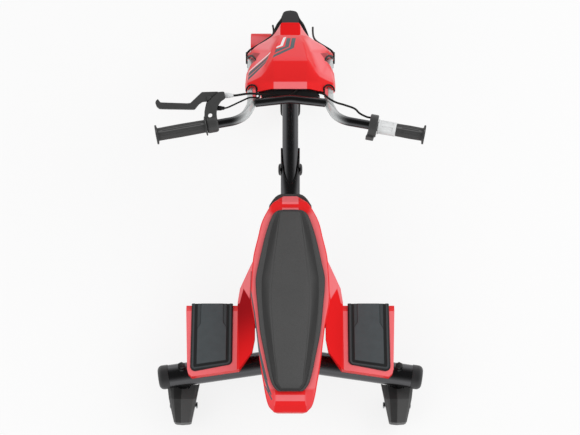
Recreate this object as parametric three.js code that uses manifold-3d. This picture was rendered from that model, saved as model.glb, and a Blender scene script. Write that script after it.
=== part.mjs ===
// A battery drift trike for a child: one driven front wheel in a raked fork whose legs run on as the
// handlebar, a low moulded seat with a foot board on each side, and two leaning casters at the rear.
// Millimetres and degrees. +X is the rider's right, +Y is forward, +Z is up, and the ground is at Z 0.
// While it is built, Y 0 is the middle of the rear cross tube; the last lines move it to the frame's origin.
import * as THREE from "three";
import { mergeVertices } from "three/addons/utils/BufferGeometryUtils.js";
import Module from "manifold-3d";

const wasm = await Module();
wasm.setup();

// Clearances, and how far every cutting body runs past what it cuts
const seatGap = 0.3;
const runningGap = 0.4;
const overrun = 30;

// Facets round a big tube, a slim tube, a pin, a cord and a wheel, and steps in a bend
const roundSides = 16;
const slimSides = 12;
const pinSides = 8;
const wheelSides = 32;
const bendSteps = 4;

// Driving sizes of the whole trike: the wheelbase runs from the rear cross tube to the front axle
const wheelbase = 839;
const wheel = { radius: 140, halfWidth: 28, rim: 112, rimWall: 12, rimLip: 4, rimHalf: 23, hub: 22 };
const spoke = { count: 5, halfWidth: 11, tipShare: 0.7, halfThickness: 9, inner: 18, outer: 104 };
const hub = { right: 44, left: 53.7 };

// Rear cross tube, its end caps and the casters' leaning sockets
const rear = { radius: 30.2, halfSpan: 317, sweep: 8.4, bendRadius: 190 };
const endCap = { radius: 31.5, length: 28, rounding: 12 };
const caster = { inset: 34, lean: 22, drop: 100, trail: 28 };
const roller = { radius: 45, width: 30, tread: 9, hub: 14, web: 5 };
const casterAxle = { radius: 5, head: 8.5, headHeight: 4 };
const socket = { radius: 17, below: 43, above: 33, race: 21, raceHeight: 3.4 };
const kingpin = { radius: 6, nut: 9.8, nutHeight: 10, head: 10, headHeight: 4 };
const hood = { tilt: 42, topHalf: 42, bottomHalf: 21, wall: 4, crown: 8, boss: 12 };
const swivelPlate = { thickness: 6, radius: 26 };
const hoodRidge = { slant: 6.3, lift: 1.6, flatShare: 0.52 };

// Frame tubes, and the bolt through the spine and the main tube
const mainTube = { radius: 21.2, knee: 156.8, start: 362, aboveHead: 7.5 };
const spine = { radius: 25.4, mouth: 535, lip: 449, socketEnd: 356, bendRadius: 140 };
const spineMount = { halfWidth: 15, back: 80, front: 120 };
const frameBolt = { y: 482, radius: 5, cap: 16, capHeight: 6.5, tail: 2.7 };

// Fork, steering and the handlebar line
const fork = { rake: 20.9, legLength: 364, halfWidth: 98, radius: 11.1, start: 24, bendRadius: 60 };
const barTop = { x: 95.5, y: 529.5, height: 570, bendRadius: 80 };
const barKnee = { x: 114, bendRadius: 52 };
const bar = { gripInner: 202.6, gripOuter: 331, gripReach: 460, rise: 30, sweep: 11 };
const barHeight = barTop.height + bar.rise;
const head = { along: 245, halfLength: 42, radius: 22, wall: 5, cup: 25, cupHeight: 11, cupSkirt: 10 };
const steerer = { radius: 12.7, nut: 17, nutHeight: 9, below: 10 };
const crown = { thickness: 12, tip: 116, tipDepth: 15, shoulder: 60, depth: 23 };
const dropout = { thickness: 6, radius: 20, tongue: 46 };
const axle = { radius: 6, nut: 11, nutHeight: 9, collar: 9 };
const crossbar = { radius: 10.6, inset: 9.5, ahead: 3.5, above: 4, bow: 8, arch: 6 };

// Seat shell. Each rim row: share of the length, of the half width, of the crest and of the skirt
const seat = { back: -177, front: 408, halfWidth: 101, deck: 284, crest: 28, skirt: 27 };
const seatEdge = { bevel: 5, draw: 9, wall: 3.5 };
const seatRimShares = [
  [0, 0.307, 0.571, 0.667],
  [0.024, 0.535, 0.893, 0.889],
  [0.072, 0.614, 1, 1],
  [0.111, 0.653, 0.893, 1],
  [0.215, 0.752, 0.571, 0.963],
  [0.374, 0.866, 0.214, 0.963],
  [0.521, 1, 0, 0.926],
  [0.685, 0.96, 0, 0.926],
  [0.805, 0.822, 0.071, 0.926],
  [0.858, 0.752, 0.143, 0.926],
  [0.938, 0.53, 0.214, 0.889],
  [0.959, 0.436, 0.214, 0.741],
  [1, 0.198, -0.571, 0.296],
];
// Seat pad. Each row: share of the length, then of the half width for the rim, the foot and the top of
// the raised middle, then of its rise
const pad = { back: -129, front: 357, halfWidth: 89, border: 8, rise: 10 };
const padEdge = { radius: 3, drawIn: 1.6, crown: 2.4, channel: 1.2 };
const padShares = [
  [0, 0.348, 0.25, 0.2, 0.2],
  [0.014, 0.43, 0.335, 0.28, 0.55],
  [0.043, 0.524, 0.427, 0.36, 0.9],
  [0.101, 0.618, 0.506, 0.388, 1],
  [0.214, 0.742, 0.618, 0.461, 1],
  [0.327, 0.862, 0.719, 0.506, 1],
  [0.494, 0.955, 0.809, 0.562, 1],
  [0.56, 0.99, 0.822, 0.556, 1],
  [0.613, 1, 0.82, 0.528, 1],
  [0.655, 0.972, 0.79, 0.507, 1],
  [0.7, 0.921, 0.753, 0.483, 1],
  [0.792, 0.816, 0.663, 0.427, 1],
  [0.86, 0.73, 0.596, 0.382, 1],
  [0.932, 0.607, 0.483, 0.337, 0.9],
  [0.977, 0.506, 0.382, 0.303, 0.7],
  [0.991, 0.43, 0.33, 0.265, 0.5],
  [1, 0.337, 0.24, 0.2, 0.2],
];
// The pad's section from the middle outwards: share of the way to the top's edge, then on to the foot,
// and share of the crown, then of the rise
const padTopShares = [
  [0, 1],
  [0.5, 0.78],
  [0.9, 0.25],
];
const padSlopeShares = [
  [0.06, 0.93],
  [0.3, 0.68],
  [0.65, 0.3],
  [0.92, 0.06],
];
// Seat base. Each row: share of the length, of the half width at the top and floor, and of the slope
const base = { back: -118, front: 340, halfWidth: 70, floor: 158, slope: 78, wall: 3, topGap: 0.6 };
const baseShares = [
  [0, 0.629, 0.514, 0.821],
  [0.166, 0.814, 0.714, 0],
  [0.585, 1, 0.771, 0],
  [0.803, 0.886, 0.686, 0.487],
  [1, 0.629, 0.486, 1],
];
const battery = { halfWidth: 43, back: -20, length: 165, height: 70 };

// Foot boards, their plan as shares of width and length, the tabs and struts below, and the mats
const board = { edge: 90, outer: 273, back: -62, front: 236, height: 190, wall: 4, skirt: 24 };
const boardNose = { crease: 113, drop: 12 };
const flank = { foot: 138, top: 92, height: 66, thickness: 6 };
const boardPlanShares = [
  [1, 0.648],
  [0.962, 0.067],
  [0.945, 0.027],
  [0.896, 0],
  [0.235, 0.06],
  [0.038, 0.168],
  [0, 0.275],
  [0, 0.983],
  [0.044, 0.983],
  [0.115, 0.909],
  [0.23, 0.785],
  [0.268, 0.648],
];
const boardTab = { x: 200, halfWidth: 27, halfLength: 15 };
const strut = { radius: 8, y: 92, knee: 138, end: 184, height: 172, padHalf: 18, padThickness: 6, bend: 26 };
const mat = { inner: 153, outer: 258, back: -40, front: 130.5, thickness: 3.4, corner: 14 };
const matGroove = { count: 6, depth: 1.6, width: 4, border: 12 };

// Fairing, set from the top of the uprights. Each row: share of the length, then points of half the
// section as shares of half width, depth and length
const fairing = { ahead: 37.5, length: 253, halfWidth: 111, crest: 50, depth: 204, wall: 3.2 };
const fairingArch = { gap: 3.5, tubeGap: 0.5, reachShare: 0.55 };
const fairingNotch = { ahead: 125.5, length: 47, inner: 87 };
const fairingShares = [
  [0, [[0, 0.779, 0], [0.432, 0.779, 0], [0.649, 0.75, 0.016], [0.901, 0.706, 0.047], [0.977, 0.588, 0.071]]],
  [0.087, [[0, 0.789, 0], [0.369, 0.789, 0], [0.595, 0.76, 0.01], [0.937, 0.7, 0.024], [0.995, 0.56, 0.032]]],
  [0.249, [[0, 1, 0], [0.387, 1, 0], [0.541, 0.85, -0.05], [0.928, 0.67, -0.087], [0.995, 0.495, -0.063]]],
  [0.447, [[0, 0.863, 0], [0.324, 0.858, 0], [0.505, 0.735, 0], [0.865, 0.564, 0], [0.977, 0.373, 0]]],
  [0.577, [[0, 0.75, 0], [0.252, 0.74, 0], [0.459, 0.627, 0], [0.811, 0.525, 0], [1, 0.294, 0]]],
  [0.794, [[0, 0.461, 0], [0.234, 0.451, 0], [0.315, 0.436, 0], [0.414, 0.412, 0], [0.505, 0.27, 0]]],
  [1, [[0, 0.176, 0], [0.234, 0.167, 0], [0.261, 0.152, 0], [0.297, 0.118, 0], [0.36, 0, 0]]],
];
// How much of the wall the skin's five half points move in, sideways and down, for its inside
const fairingSideShares = [0, 0.7, 0.7, 0.9, 1];
const fairingDownShares = [1, 1, 0.9, 0.6, 0];
const trim = { width: 2.6, topShare: 0.5, stations: 4 };

// Dash under the fairing's rear lip, its posts and its button
const dash = { halfWidth: 73, ahead: 20, length: 38.5, below: 18, thickness: 13.5 };
const dashPost = { inner: 28, outer: 40, ahead: 20.5, height: 5.5 };
const dashPlanShares = [
  [-0.973, 0.221],
  [-0.959, 0.013],
  [0.822, 0],
  [1, 0.195],
  [0.63, 1],
  [-0.63, 1],
];
const button = { x: 63, radius: 6.5, travel: 2, height: 7, stem: 3, stemLength: 12, level: 7 };

// Front mudguard. Each row: share of the length, then half width and height of the top facet and edge
const beak = { behind: 47, length: 131.6, halfWidth: 56, overTyre: 40, depth: 46, wall: 3, crown: 1.5 };
const beakShares = [
  [0, 0.429, 1, 1, 0.304],
  [0.365, 0.411, 0.696, 0.911, 0.13],
  [0.691, 0.393, 0.457, 0.679, 0],
  [1, 0.375, 0.239, 0.411, 0.087],
];
const stay = { inner: 56.5, outer: 65, behind: 53, ahead: 24, overTyre: 44, thickness: 6 };
const stayFoot = { inner: 44, behind: 3, ahead: 11 };

// Controls, set from the inner end of the grips
const grip = { radius: 15.6, flange: 23.5, flangeWidth: 4, swell: 1, dome: 4 };
const sleeve = { radius: 17, length: 44, rim: 18.4, rimWidth: 3 };
const sleeveRecess = { depth: 1.6, halfWidth: 5.5, length: 26 };
const housing = { start: 11.6, width: 20, radius: 27.5, footReach: 36, footLow: -30, footHigh: -10 };
const clamp = { start: 3.6, width: 27, radius: 17 };
const bracket = { width: 49, reach: 89, below: 6, above: 2, holeAcross: 7.1, holeAhead: 34, holeRadius: 5.5 };
const bracketPlanShares = [
  [-0.024, 0.7],
  [0.257, 0.854],
  [0.592, 0.989],
  [0.855, 1],
  [0.88, 0.874],
  [0.62, 0.724],
  [0.494, 0.517],
  [0.478, 0.403],
  [0.522, 0.135],
  [-0.09, 0.18],
  [-0.122, 0.266],
  [-0.114, 0.448],
];
const lever = { start: 124.9, length: 144.5, ahead: 41.9, depth: 46.3, thickness: 8 };
const leverPivotPlace = { across: 5.6, ahead: 68 };
const leverPlanShares = [
  [0.02, 0.546],
  [0.078, 0.374],
  [0.573, 0.322],
  [0.749, 0.929],
  [0.801, 1],
  [0.952, 0.996],
  [1, 0.844],
  [0.986, 0.413],
  [0.91, 0.294],
  [0.806, 0.326],
  [0.714, 0.283],
  [0.641, 0],
  [0.061, 0.045],
  [0, 0.374],
];
const pin = { radius: 3.4, head: 6, headHeight: 3 };
const adjuster = { across: 43.8, ahead: 82, below: 2, length: 20, radius: 6.6, small: 4, depth: 8 };
const cutoff = { across: 28.4, ahead: 48, below: 2, length: 14, radius: 6, small: 4, depth: 5 };

// Drive on the left of the front wheel, drum brake on its right
const gears = { module: 3, wheelTeeth: 48, pinionTeeth: 11, pressure: 20, backlash: 0.35 };
const gearSide = { inner: 54.5, outer: 66 };
const motor = { ahead: 25, above: 85, radius: 34, inner: 70, outer: 104, shaft: 4, shaftEnd: 87, floor: 10 };
const cover = { disc: 82, lobe: 38, wall: 3, inner: 52, discOuter: 84, lobeOuter: 109 };
const drum = { radius: 45, wall: 6, inner: 44.6, outer: 67 };
const backplate = { radius: 48, inner: 68, outer: 73 };
const brakeArm = { pivotBack: 24, pivotUp: 15, tipAhead: 18, tipUp: 23 };
const brakeArmBar = { inner: 76, outer: 81, radius: 7, tip: 5, shaft: 5, shaftEnd: 62 };

// Cables: the brake cable runs down beside the right leg to its stop
const brakeCable = { radius: 2.4, wire: 1.1, side: 83.2, ahead: 28, stop: 66, wireEnd: 8, steps: 36 };
const cableStop = { wall: 5, height: 8, exit: 16 };
const cutoffCable = { radius: 1.8, steps: 14 };
const throttleCable = { radius: 2.1, steps: 14, ahead: 20, run: 8 };

const degrees = Math.PI / 180;
const sin = (angle) => Math.sin(angle * degrees);
const cos = (angle) => Math.cos(angle * degrees);
const tan = (angle) => Math.tan(angle * degrees);
const point = (x, y, z) => new THREE.Vector3(x, y, z);
const origin = point(0, 0, 0);
const xAxis = point(1, 0, 0);
const yAxis = point(0, 1, 0);
const zAxis = point(0, 0, 1);

// Finishes
const finish = (color, roughness, metalness = 0) =>
  new THREE.MeshStandardMaterial({ color, roughness, metalness });
const redPlastic = finish(0xd9201c, 0.35);
const blackTube = finish(0x1c1c1e, 0.2, 0.6);
const blackPlastic = finish(0x2b2b2c, 0.55);
const blackRubber = finish(0x252525, 0.8);
const padFoam = finish(0x3a3b3c, 0.75);
const greyPlastic = finish(0xc4c6c6, 0.45);
const steel = finish(0xa8a9aa, 0.35, 1);
const cableJacket = finish(0x121212, 0.5);

// A solid is made from three.js geometry with its place applied, whichever way its faces wind
function solidOf(geometry) {
  const bare = geometry.index ? geometry.toNonIndexed() : geometry.clone();
  const positions = new THREE.BufferGeometry().setAttribute("position", bare.getAttribute("position"));
  const merged = mergeVertices(positions, 1e-4);
  const build = (triVerts) =>
    new wasm.Manifold(
      new wasm.Mesh({ numProp: 3, vertProperties: merged.attributes.position.array, triVerts }),
    );
  const made = build(new Uint32Array(merged.index.array));
  if (made.volume() > 0) return made;
  return build(new Uint32Array(merged.index.array).reverse());
}

function geometryOf(solid) {
  const mesh = solid.getMesh();
  const positions = new Float32Array(mesh.numVert * 3);
  for (let i = 0; i < mesh.numVert; i++) {
    positions.set(mesh.vertProperties.subarray(i * mesh.numProp, i * mesh.numProp + 3), i * 3);
  }
  const geometry = new THREE.BufferGeometry();
  geometry.setAttribute("position", new THREE.BufferAttribute(positions, 3));
  geometry.setIndex(new THREE.BufferAttribute(new Uint32Array(mesh.triVerts), 1));
  geometry.computeVertexNormals();
  return geometry;
}
const mirrored = (solid) => solidOf(geometryOf(solid).scale(-1, 1, 1));
const moved = (solid, x, y, z) => solidOf(geometryOf(solid).translate(x, y, z));
const largest = (solid) => solid.decompose().sort((a, b) => b.volume() - a.volume())[0];

// The scene: the trike holds the frame, the two casters, and the steering with its head and front wheel
function group(parent, place) {
  const made = new THREE.Group();
  made.position.copy(place);
  parent.add(made);
  return made;
}
const trike = new THREE.Group();
const frame = group(trike, origin);
const steering = group(trike, origin);
const steeringHead = group(steering, point(0, wheelbase, wheel.radius));
steeringHead.rotation.x = fork.rake * degrees;
const frontWheel = group(steering, point(0, wheelbase, wheel.radius));
trike.updateMatrixWorld(true);

function add(parent, name, solid, material) {
  const mesh = new THREE.Mesh(geometryOf(solid), material);
  mesh.name = name;
  parent.add(mesh);
  return mesh;
}
// The same piece on both sides of the trike's middle
function addPair(parent, name, solid, material) {
  add(parent, `${name}_right`, solid, material);
  add(parent, `${name}_left`, solid, material).scale.x = -1;
}
const placed = (solid, parent) => solidOf(geometryOf(solid).applyMatrix4(parent.matrixWorld));

// A straight round bar between two points
function rod(from, to, radius, sides = roundSides) {
  const along = to.clone().sub(from);
  const geometry = new THREE.CylinderGeometry(radius, radius, along.length(), sides);
  geometry.applyQuaternion(new THREE.Quaternion().setFromUnitVectors(yAxis, along.clone().normalize()));
  const middle = from.clone().add(to).divideScalar(2);
  geometry.translate(middle.x, middle.y, middle.z);
  return solidOf(geometry);
}
const hexagon = (from, to, radius) => rod(from, to, radius, 6);
// A bore whose flats clear the corners of the pin that turns in it
const turningBore = (radius, sides) => (radius + runningGap) / cos(180 / sides);

// A revolved piece: profile points are [radius, distance along the axis], from start towards end
function turned(profile, start, end, sides = roundSides) {
  const points = profile.map(([radius, along]) => new THREE.Vector2(radius, along));
  if (profile[0][0] > 0) points.push(points[0].clone());
  const geometry = new THREE.LatheGeometry(points, sides);
  const direction = end.clone().sub(start).normalize();
  geometry.applyQuaternion(new THREE.Quaternion().setFromUnitVectors(yAxis, direction));
  geometry.translate(start.x, start.y, start.z);
  return solidOf(geometry);
}

// A flat outline in the plane of two axes, pushed along the third
function extruded(outline, depth, start, across, up) {
  const shape = new THREE.Shape(outline.map(([x, y]) => new THREE.Vector2(x, y)));
  const geometry = new THREE.ExtrudeGeometry(shape, { depth, bevelEnabled: false });
  const out = across.clone().cross(up);
  geometry.applyMatrix4(new THREE.Matrix4().makeBasis(across, up, out).setPosition(start));
  return solidOf(geometry);
}
const rectangle = (left, low, right, high) => [
  [left, low],
  [right, low],
  [right, high],
  [left, high],
];
const block = (low, high) =>
  extruded(rectangle(low.x, low.y, high.x, high.y), high.z - low.z, point(0, 0, low.z), xAxis, yAxis);
// A side view in Y and Z, pushed across from one X to another
const sideView = (outline, from, to) => extruded(outline, to - from, point(from, 0, 0), yAxis, zAxis);

const circle = (radius, sides) =>
  Array.from({ length: sides }, (_, i) => {
    const angle = (360 * i) / sides;
    return [radius * cos(angle), radius * sin(angle)];
  });

// A polygon with every edge moved in by the same distance
function insetOutline(outline, distance) {
  const corners = outline.map(([x, y]) => new THREE.Vector2(x, y));
  const turn = Math.sign(THREE.ShapeUtils.area(corners));
  const inward = (from, to) => {
    const edge = to.clone().sub(from).normalize();
    return new THREE.Vector2(-edge.y, edge.x).multiplyScalar(turn);
  };
  return corners.map((here, i) => {
    const arriving = inward(corners.at(i - 1), here);
    const leaving = inward(here, corners[(i + 1) % corners.length]);
    const reach = distance / (1 + arriving.dot(leaving));
    return here.clone().add(arriving.add(leaving).multiplyScalar(reach)).toArray();
  });
}

// A run of straight stretches joined by arcs, sampled only where it bends
class BentRoute extends THREE.Curve {
  constructor(corners, radii) {
    super();
    this.knots = [corners[0]];
    for (let i = 1; i < corners.length - 1; i++) {
      const before = corners[i - 1].clone().sub(corners[i]).normalize();
      const after = corners[i + 1].clone().sub(corners[i]).normalize();
      const half = before.angleTo(after) / 2;
      const back = radii[i - 1] / Math.tan(half);
      const centre = before
        .clone()
        .add(after)
        .normalize()
        .multiplyScalar(radii[i - 1] / Math.sin(half))
        .add(corners[i]);
      const start = corners[i].clone().addScaledVector(before, back).sub(centre);
      const end = corners[i].clone().addScaledVector(after, back).sub(centre);
      const sweep = start.angleTo(end);
      const axis = start.clone().cross(end).normalize();
      for (let k = 0; k <= bendSteps; k++) {
        this.knots.push(start.clone().applyAxisAngle(axis, (sweep * k) / bendSteps).add(centre));
      }
    }
    this.knots.push(corners[corners.length - 1]);
    this.steps = this.knots.length - 1;
  }
  getPointAt(u, target = new THREE.Vector3()) {
    const t = u * this.steps;
    const i = Math.min(Math.floor(t + 1e-9), this.steps - 1);
    return target.copy(this.knots[i]).lerp(this.knots[i + 1], t - i);
  }
  getTangentAt(u, target = new THREE.Vector3()) {
    const i = Math.round(u * this.steps);
    const before = this.knots[Math.max(i - 1, 0)];
    const here = this.knots[i];
    const after = this.knots[Math.min(i + 1, this.steps)];
    const arriving = here.clone().sub(before).normalize();
    const leaving = after.clone().sub(here).normalize();
    return target.copy(arriving).add(leaving).normalize();
  }
}
function tube(route, radius, sides, steps) {
  const shape = new THREE.Shape(circle(radius, sides).map(([x, y]) => new THREE.Vector2(x, y)));
  return solidOf(new THREE.ExtrudeGeometry(shape, { steps, extrudePath: route, bevelEnabled: false }));
}
function bentTube(corners, radii, radius, sides = roundSides) {
  const route = new BentRoute(corners, radii);
  return tube(route, radius, sides, route.steps);
}
const cable = (points, radius, steps) =>
  tube(new THREE.CatmullRomCurve3(points, false, "centripetal"), radius, pinSides, steps);

// A skin through closed rings of points, with both ends closed
function loft(rings) {
  const count = rings[0].length;
  const positions = [];
  const put = (...corners) => corners.forEach((p) => positions.push(p.x, p.y, p.z));
  for (let s = 0; s < rings.length - 1; s++) {
    for (let i = 0; i < count; i++) {
      const j = (i + 1) % count;
      put(rings[s][i], rings[s][j], rings[s + 1][j]);
      put(rings[s][i], rings[s + 1][j], rings[s + 1][i]);
    }
  }
  const normal = origin.clone();
  rings[0].forEach((p, i) => normal.add(p.clone().cross(rings[0][(i + 1) % count])));
  normal.normalize();
  const across = yAxis.clone().addScaledVector(normal, -normal.y);
  if (across.lengthSq() < 0.1) across.copy(xAxis).addScaledVector(normal, -normal.x);
  across.normalize();
  const up = normal.clone().cross(across);
  const close = (ring, flip) => {
    const flat = ring.map((p) => new THREE.Vector2(p.dot(across), p.dot(up)));
    for (const [a, b, c] of THREE.ShapeUtils.triangulateShape(flat, [])) {
      if (flip) put(ring[a], ring[c], ring[b]);
      else put(ring[a], ring[b], ring[c]);
    }
  };
  close(rings[0], true);
  close(rings[rings.length - 1], false);
  const geometry = new THREE.BufferGeometry();
  geometry.setAttribute("position", new THREE.BufferAttribute(new Float32Array(positions), 3));
  return solidOf(geometry);
}

// A symmetric section at one Y: half points [x, z, shift ahead] from the middle of the top down
function section(y, half) {
  const right = half.map(([x, z, ahead = 0]) => point(x, y + ahead, z));
  const left = right.filter(({ x }) => x > 0).map((p) => point(-p.x, p.y, p.z));
  return [...right, ...left.reverse()];
}
const shiftedAhead = (ring, distance) => ring.map((p) => point(p.x, p.y + distance, p.z));

// Rear frame: the cross tube with its foot-board tabs, end caps and leaning caster sockets
const rearHeight = roller.radius + caster.drop * cos(caster.lean) - caster.trail * sin(caster.lean);
const rearY = (x) => -Math.abs(x) * tan(rear.sweep);
const casterOffset = rear.halfSpan - caster.inset;
const rearEnd = (side) => point(side * rear.halfSpan, rearY(rear.halfSpan), rearHeight);
const boardUnderside = board.height - board.wall - seatGap;
const rearRoute = (radius) =>
  bentTube([rearEnd(-1), point(0, 0, rearHeight), rearEnd(1)], [rear.bendRadius], radius);

function casterGroup(side) {
  const made = group(frame, point(side * casterOffset, rearY(casterOffset), rearHeight));
  made.rotation.x = -caster.lean * degrees;
  made.updateWorldMatrix(true, false);
  return made;
}
const casters = { left: casterGroup(-1), right: casterGroup(1) };

// A caster's own frame: Z up its leaning pin, Y forward, and its origin on the cross tube's axis
function casterSocket() {
  const bore = kingpin.radius + seatGap;
  const foot = -socket.below - socket.raceHeight;
  const profile = [
    [bore, foot],
    [socket.race, foot],
    [socket.race, -socket.below],
    [socket.radius, -socket.below],
    [socket.radius, socket.above],
    [bore, socket.above],
  ];
  return turned(profile, origin, zAxis, slimSides);
}

function rearTube() {
  const tab = block(
    point(boardTab.x - boardTab.halfWidth, rearY(boardTab.x) - boardTab.halfLength, rearHeight),
    point(boardTab.x + boardTab.halfWidth, rearY(boardTab.x) + boardTab.halfLength, boardUnderside),
  );
  const pinHole = rod(
    point(0, 0, -socket.below - overrun),
    point(0, 0, socket.above + overrun),
    kingpin.radius + seatGap,
    slimSides,
  );
  const side = placed(casterSocket(), casters.right).add(tab);
  const hole = placed(pinHole, casters.right);
  return rearRoute(rear.radius).add(side).add(mirrored(side)).subtract(hole).subtract(mirrored(hole));
}

function tubeCap() {
  const outward = point(cos(rear.sweep), -sin(rear.sweep), 0);
  const flat = endCap.radius - endCap.rounding;
  const shoulder = endCap.length - endCap.rounding;
  const profile = [
    [0, seatGap],
    [endCap.radius, seatGap],
    ...[0, 30, 60].map((angle) => [
      flat + endCap.rounding * cos(angle),
      shoulder + endCap.rounding * sin(angle),
    ]),
    [flat, endCap.length],
    [0, endCap.length],
  ];
  return turned(profile, rearEnd(1), rearEnd(1).add(outward));
}

const swivel = -socket.below - socket.raceHeight - runningGap; // height of the hood's top face
function kingpinBolt() {
  const top = socket.above + seatGap;
  const tip = top + kingpin.nutHeight;
  const foot = swivel - swivelPlate.thickness - runningGap;
  return rod(point(0, 0, foot), point(0, 0, tip), kingpin.radius, slimSides)
    .add(hexagon(point(0, 0, top), point(0, 0, tip), kingpin.nut))
    .add(hexagon(point(0, 0, foot - kingpin.headHeight), point(0, 0, foot), kingpin.head));
}

// Caster hood: a tapered, ridged shell laid out along the diagonal from the swivel to the heel
const hoodPoint = (x, along, out) =>
  point(
    x,
    -along * cos(hood.tilt) - out * sin(hood.tilt),
    out * cos(hood.tilt) - along * sin(hood.tilt),
  );
const wheelAlong = caster.trail * cos(hood.tilt) + caster.drop * sin(hood.tilt);
const wheelOut = caster.trail * sin(hood.tilt) - caster.drop * cos(hood.tilt);
const hoodStart = -swivel * sin(hood.tilt);
const hoodTop = swivel * cos(hood.tilt);
const hoodCrown = wheelOut + roller.radius + hood.crown;
const hoodEnd = wheelAlong + roller.radius + hood.wall / 2;
const hoodHalfWidth = (along) =>
  hood.topHalf + ((hood.bottomHalf - hood.topHalf) * (along - hoodStart)) / (hoodEnd - hoodStart);

function hoodRings(inset, below) {
  const stations = [
    [hoodStart - inset, hoodTop],
    [hoodStart + hoodCrown - hoodTop, hoodCrown - hood.wall / 2],
    [wheelAlong, hoodCrown],
    [wheelAlong + roller.radius / 2, hoodCrown - hood.wall],
    [hoodEnd + inset, wheelOut + roller.radius / 2],
  ];
  return stations.map(([along, out]) => {
    const half = hoodHalfWidth(along) - inset;
    const top = out - inset;
    const ridge = half * hoodRidge.flatShare;
    return [
      hoodPoint(0, along, top),
      hoodPoint(ridge, along, top - hoodRidge.lift),
      hoodPoint(half, along, top - hoodRidge.slant),
      hoodPoint(half, along, below),
      hoodPoint(-half, along, below),
      hoodPoint(-half, along, top - hoodRidge.slant),
      hoodPoint(-ridge, along, top - hoodRidge.lift),
    ];
  });
}

function casterHood() {
  const floor = wheelOut - hood.boss;
  const skin = loft(hoodRings(0, floor)).subtract(loft(hoodRings(hood.wall, floor - overrun)));
  // seen from the side, the cheeks sweep from the swivel down to the axle bosses and up to the heel
  const cheek = [
    [hoodStart - overrun, hoodTop - roller.radius / 2],
    [wheelAlong - hood.boss, floor + hood.boss / 2],
    [wheelAlong - hood.boss / 2, floor],
    [wheelAlong + hood.boss / 2, floor],
    [wheelAlong + hood.boss, floor + hood.boss / 2],
    [hoodEnd + overrun, wheelOut + roller.radius / 3],
    [hoodEnd + overrun, hoodCrown + overrun],
    [hoodStart - overrun, hoodCrown + overrun],
  ];
  const alongAxis = hoodPoint(0, 1, 0);
  const outAxis = hoodPoint(0, 0, 1);
  const reach = hood.topHalf + overrun;
  const sides = extruded(cheek, 2 * reach, point(-reach, 0, 0), alongAxis, outAxis).add(
    extruded(cheek, 2 * reach, point(reach, 0, 0), alongAxis, outAxis),
  );
  const room = block(
    point(-reach, -hoodEnd - roller.radius - overrun, swivel - hoodEnd - roller.radius - overrun),
    point(reach, hoodEnd + overrun, swivel),
  );
  const plate = rod(point(0, 0, swivel - swivelPlate.thickness), point(0, 0, swivel), swivelPlate.radius);
  const pinHole = rod(
    point(0, 0, swivel - overrun),
    point(0, 0, swivel + overrun),
    kingpin.radius + runningGap,
    slimSides,
  );
  const axleHole = rod(wheelPoint(-reach), wheelPoint(reach), casterAxle.radius + seatGap, slimSides);
  return skin.intersect(sides).intersect(room).add(plate).subtract(pinHole).subtract(axleHole);
}
const wheelPoint = (x) => point(x, -caster.trail, -caster.drop);

function casterAxlePin() {
  const face = hoodHalfWidth(wheelAlong - casterAxle.head) + runningGap;
  const end = face + casterAxle.headHeight;
  return rod(wheelPoint(-end), wheelPoint(end), casterAxle.radius, slimSides)
    .add(hexagon(wheelPoint(face), wheelPoint(end), casterAxle.head))
    .add(hexagon(wheelPoint(-end), wheelPoint(-face), casterAxle.head));
}

function casterWheel() {
  const half = roller.width / 2;
  const rim = roller.radius - roller.tread;
  const bore = casterAxle.radius + runningGap;
  const boss = half + hood.wall / 2;
  const shoulder = roller.radius - roller.tread / 2;
  const profile = [
    [bore, -boss],
    [roller.hub, -boss],
    [roller.hub, -roller.web],
    [rim - roller.web, -roller.web],
    [rim, -half],
    [shoulder, -half],
    [roller.radius, -half / 2],
    [roller.radius, half / 2],
    [shoulder, half],
    [rim, half],
    [rim - roller.web, roller.web],
    [roller.hub, roller.web],
    [roller.hub, boss],
    [bore, boss],
  ];
  return turned(profile, wheelPoint(0), wheelPoint(1), 20);
}

add(frame, "rear_tube", rearTube(), blackTube);
addPair(frame, "tube_cap", tubeCap(), blackPlastic);
for (const [side, parent] of Object.entries(casters)) {
  add(parent, `kingpin_${side}`, kingpinBolt(), steel);
  add(parent, `caster_hood_${side}`, casterHood(), blackPlastic);
  add(parent, `caster_axle_${side}`, casterAxlePin(), steel);
  add(parent, `caster_wheel_${side}`, casterWheel(), blackRubber);
}

// Frame: the spine with its scarfed mouth, the main tube with the head tube, and the bolt through both
// the steering axis leans back from the front axle: ahead of it, and along it from the axle
const steerPoint = (x, fore, along) =>
  point(
    x,
    wheelbase + fore * cos(fork.rake) - along * sin(fork.rake),
    wheel.radius + fore * sin(fork.rake) + along * cos(fork.rake),
  );
const steerUp = steerPoint(0, 0, 1).sub(steerPoint(0, 0, 0));
const steerFore = steerPoint(0, 1, 0).sub(steerPoint(0, 0, 0));

// the main tube's axis climbs from the spine's knee to the middle of the head tube
const meeting = steerPoint(0, 0, head.along + mainTube.aboveHead);
const rise = (meeting.z - rearHeight) / (meeting.y - mainTube.knee);
const mainPoint = (y) => point(0, y, rearHeight + rise * (y - mainTube.knee));
const boltPoint = (x) => mainPoint(frameBolt.y).setX(x);
const boltHole = () =>
  rod(boltPoint(-2 * overrun), boltPoint(2 * overrun), frameBolt.radius + seatGap, pinSides);

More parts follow.
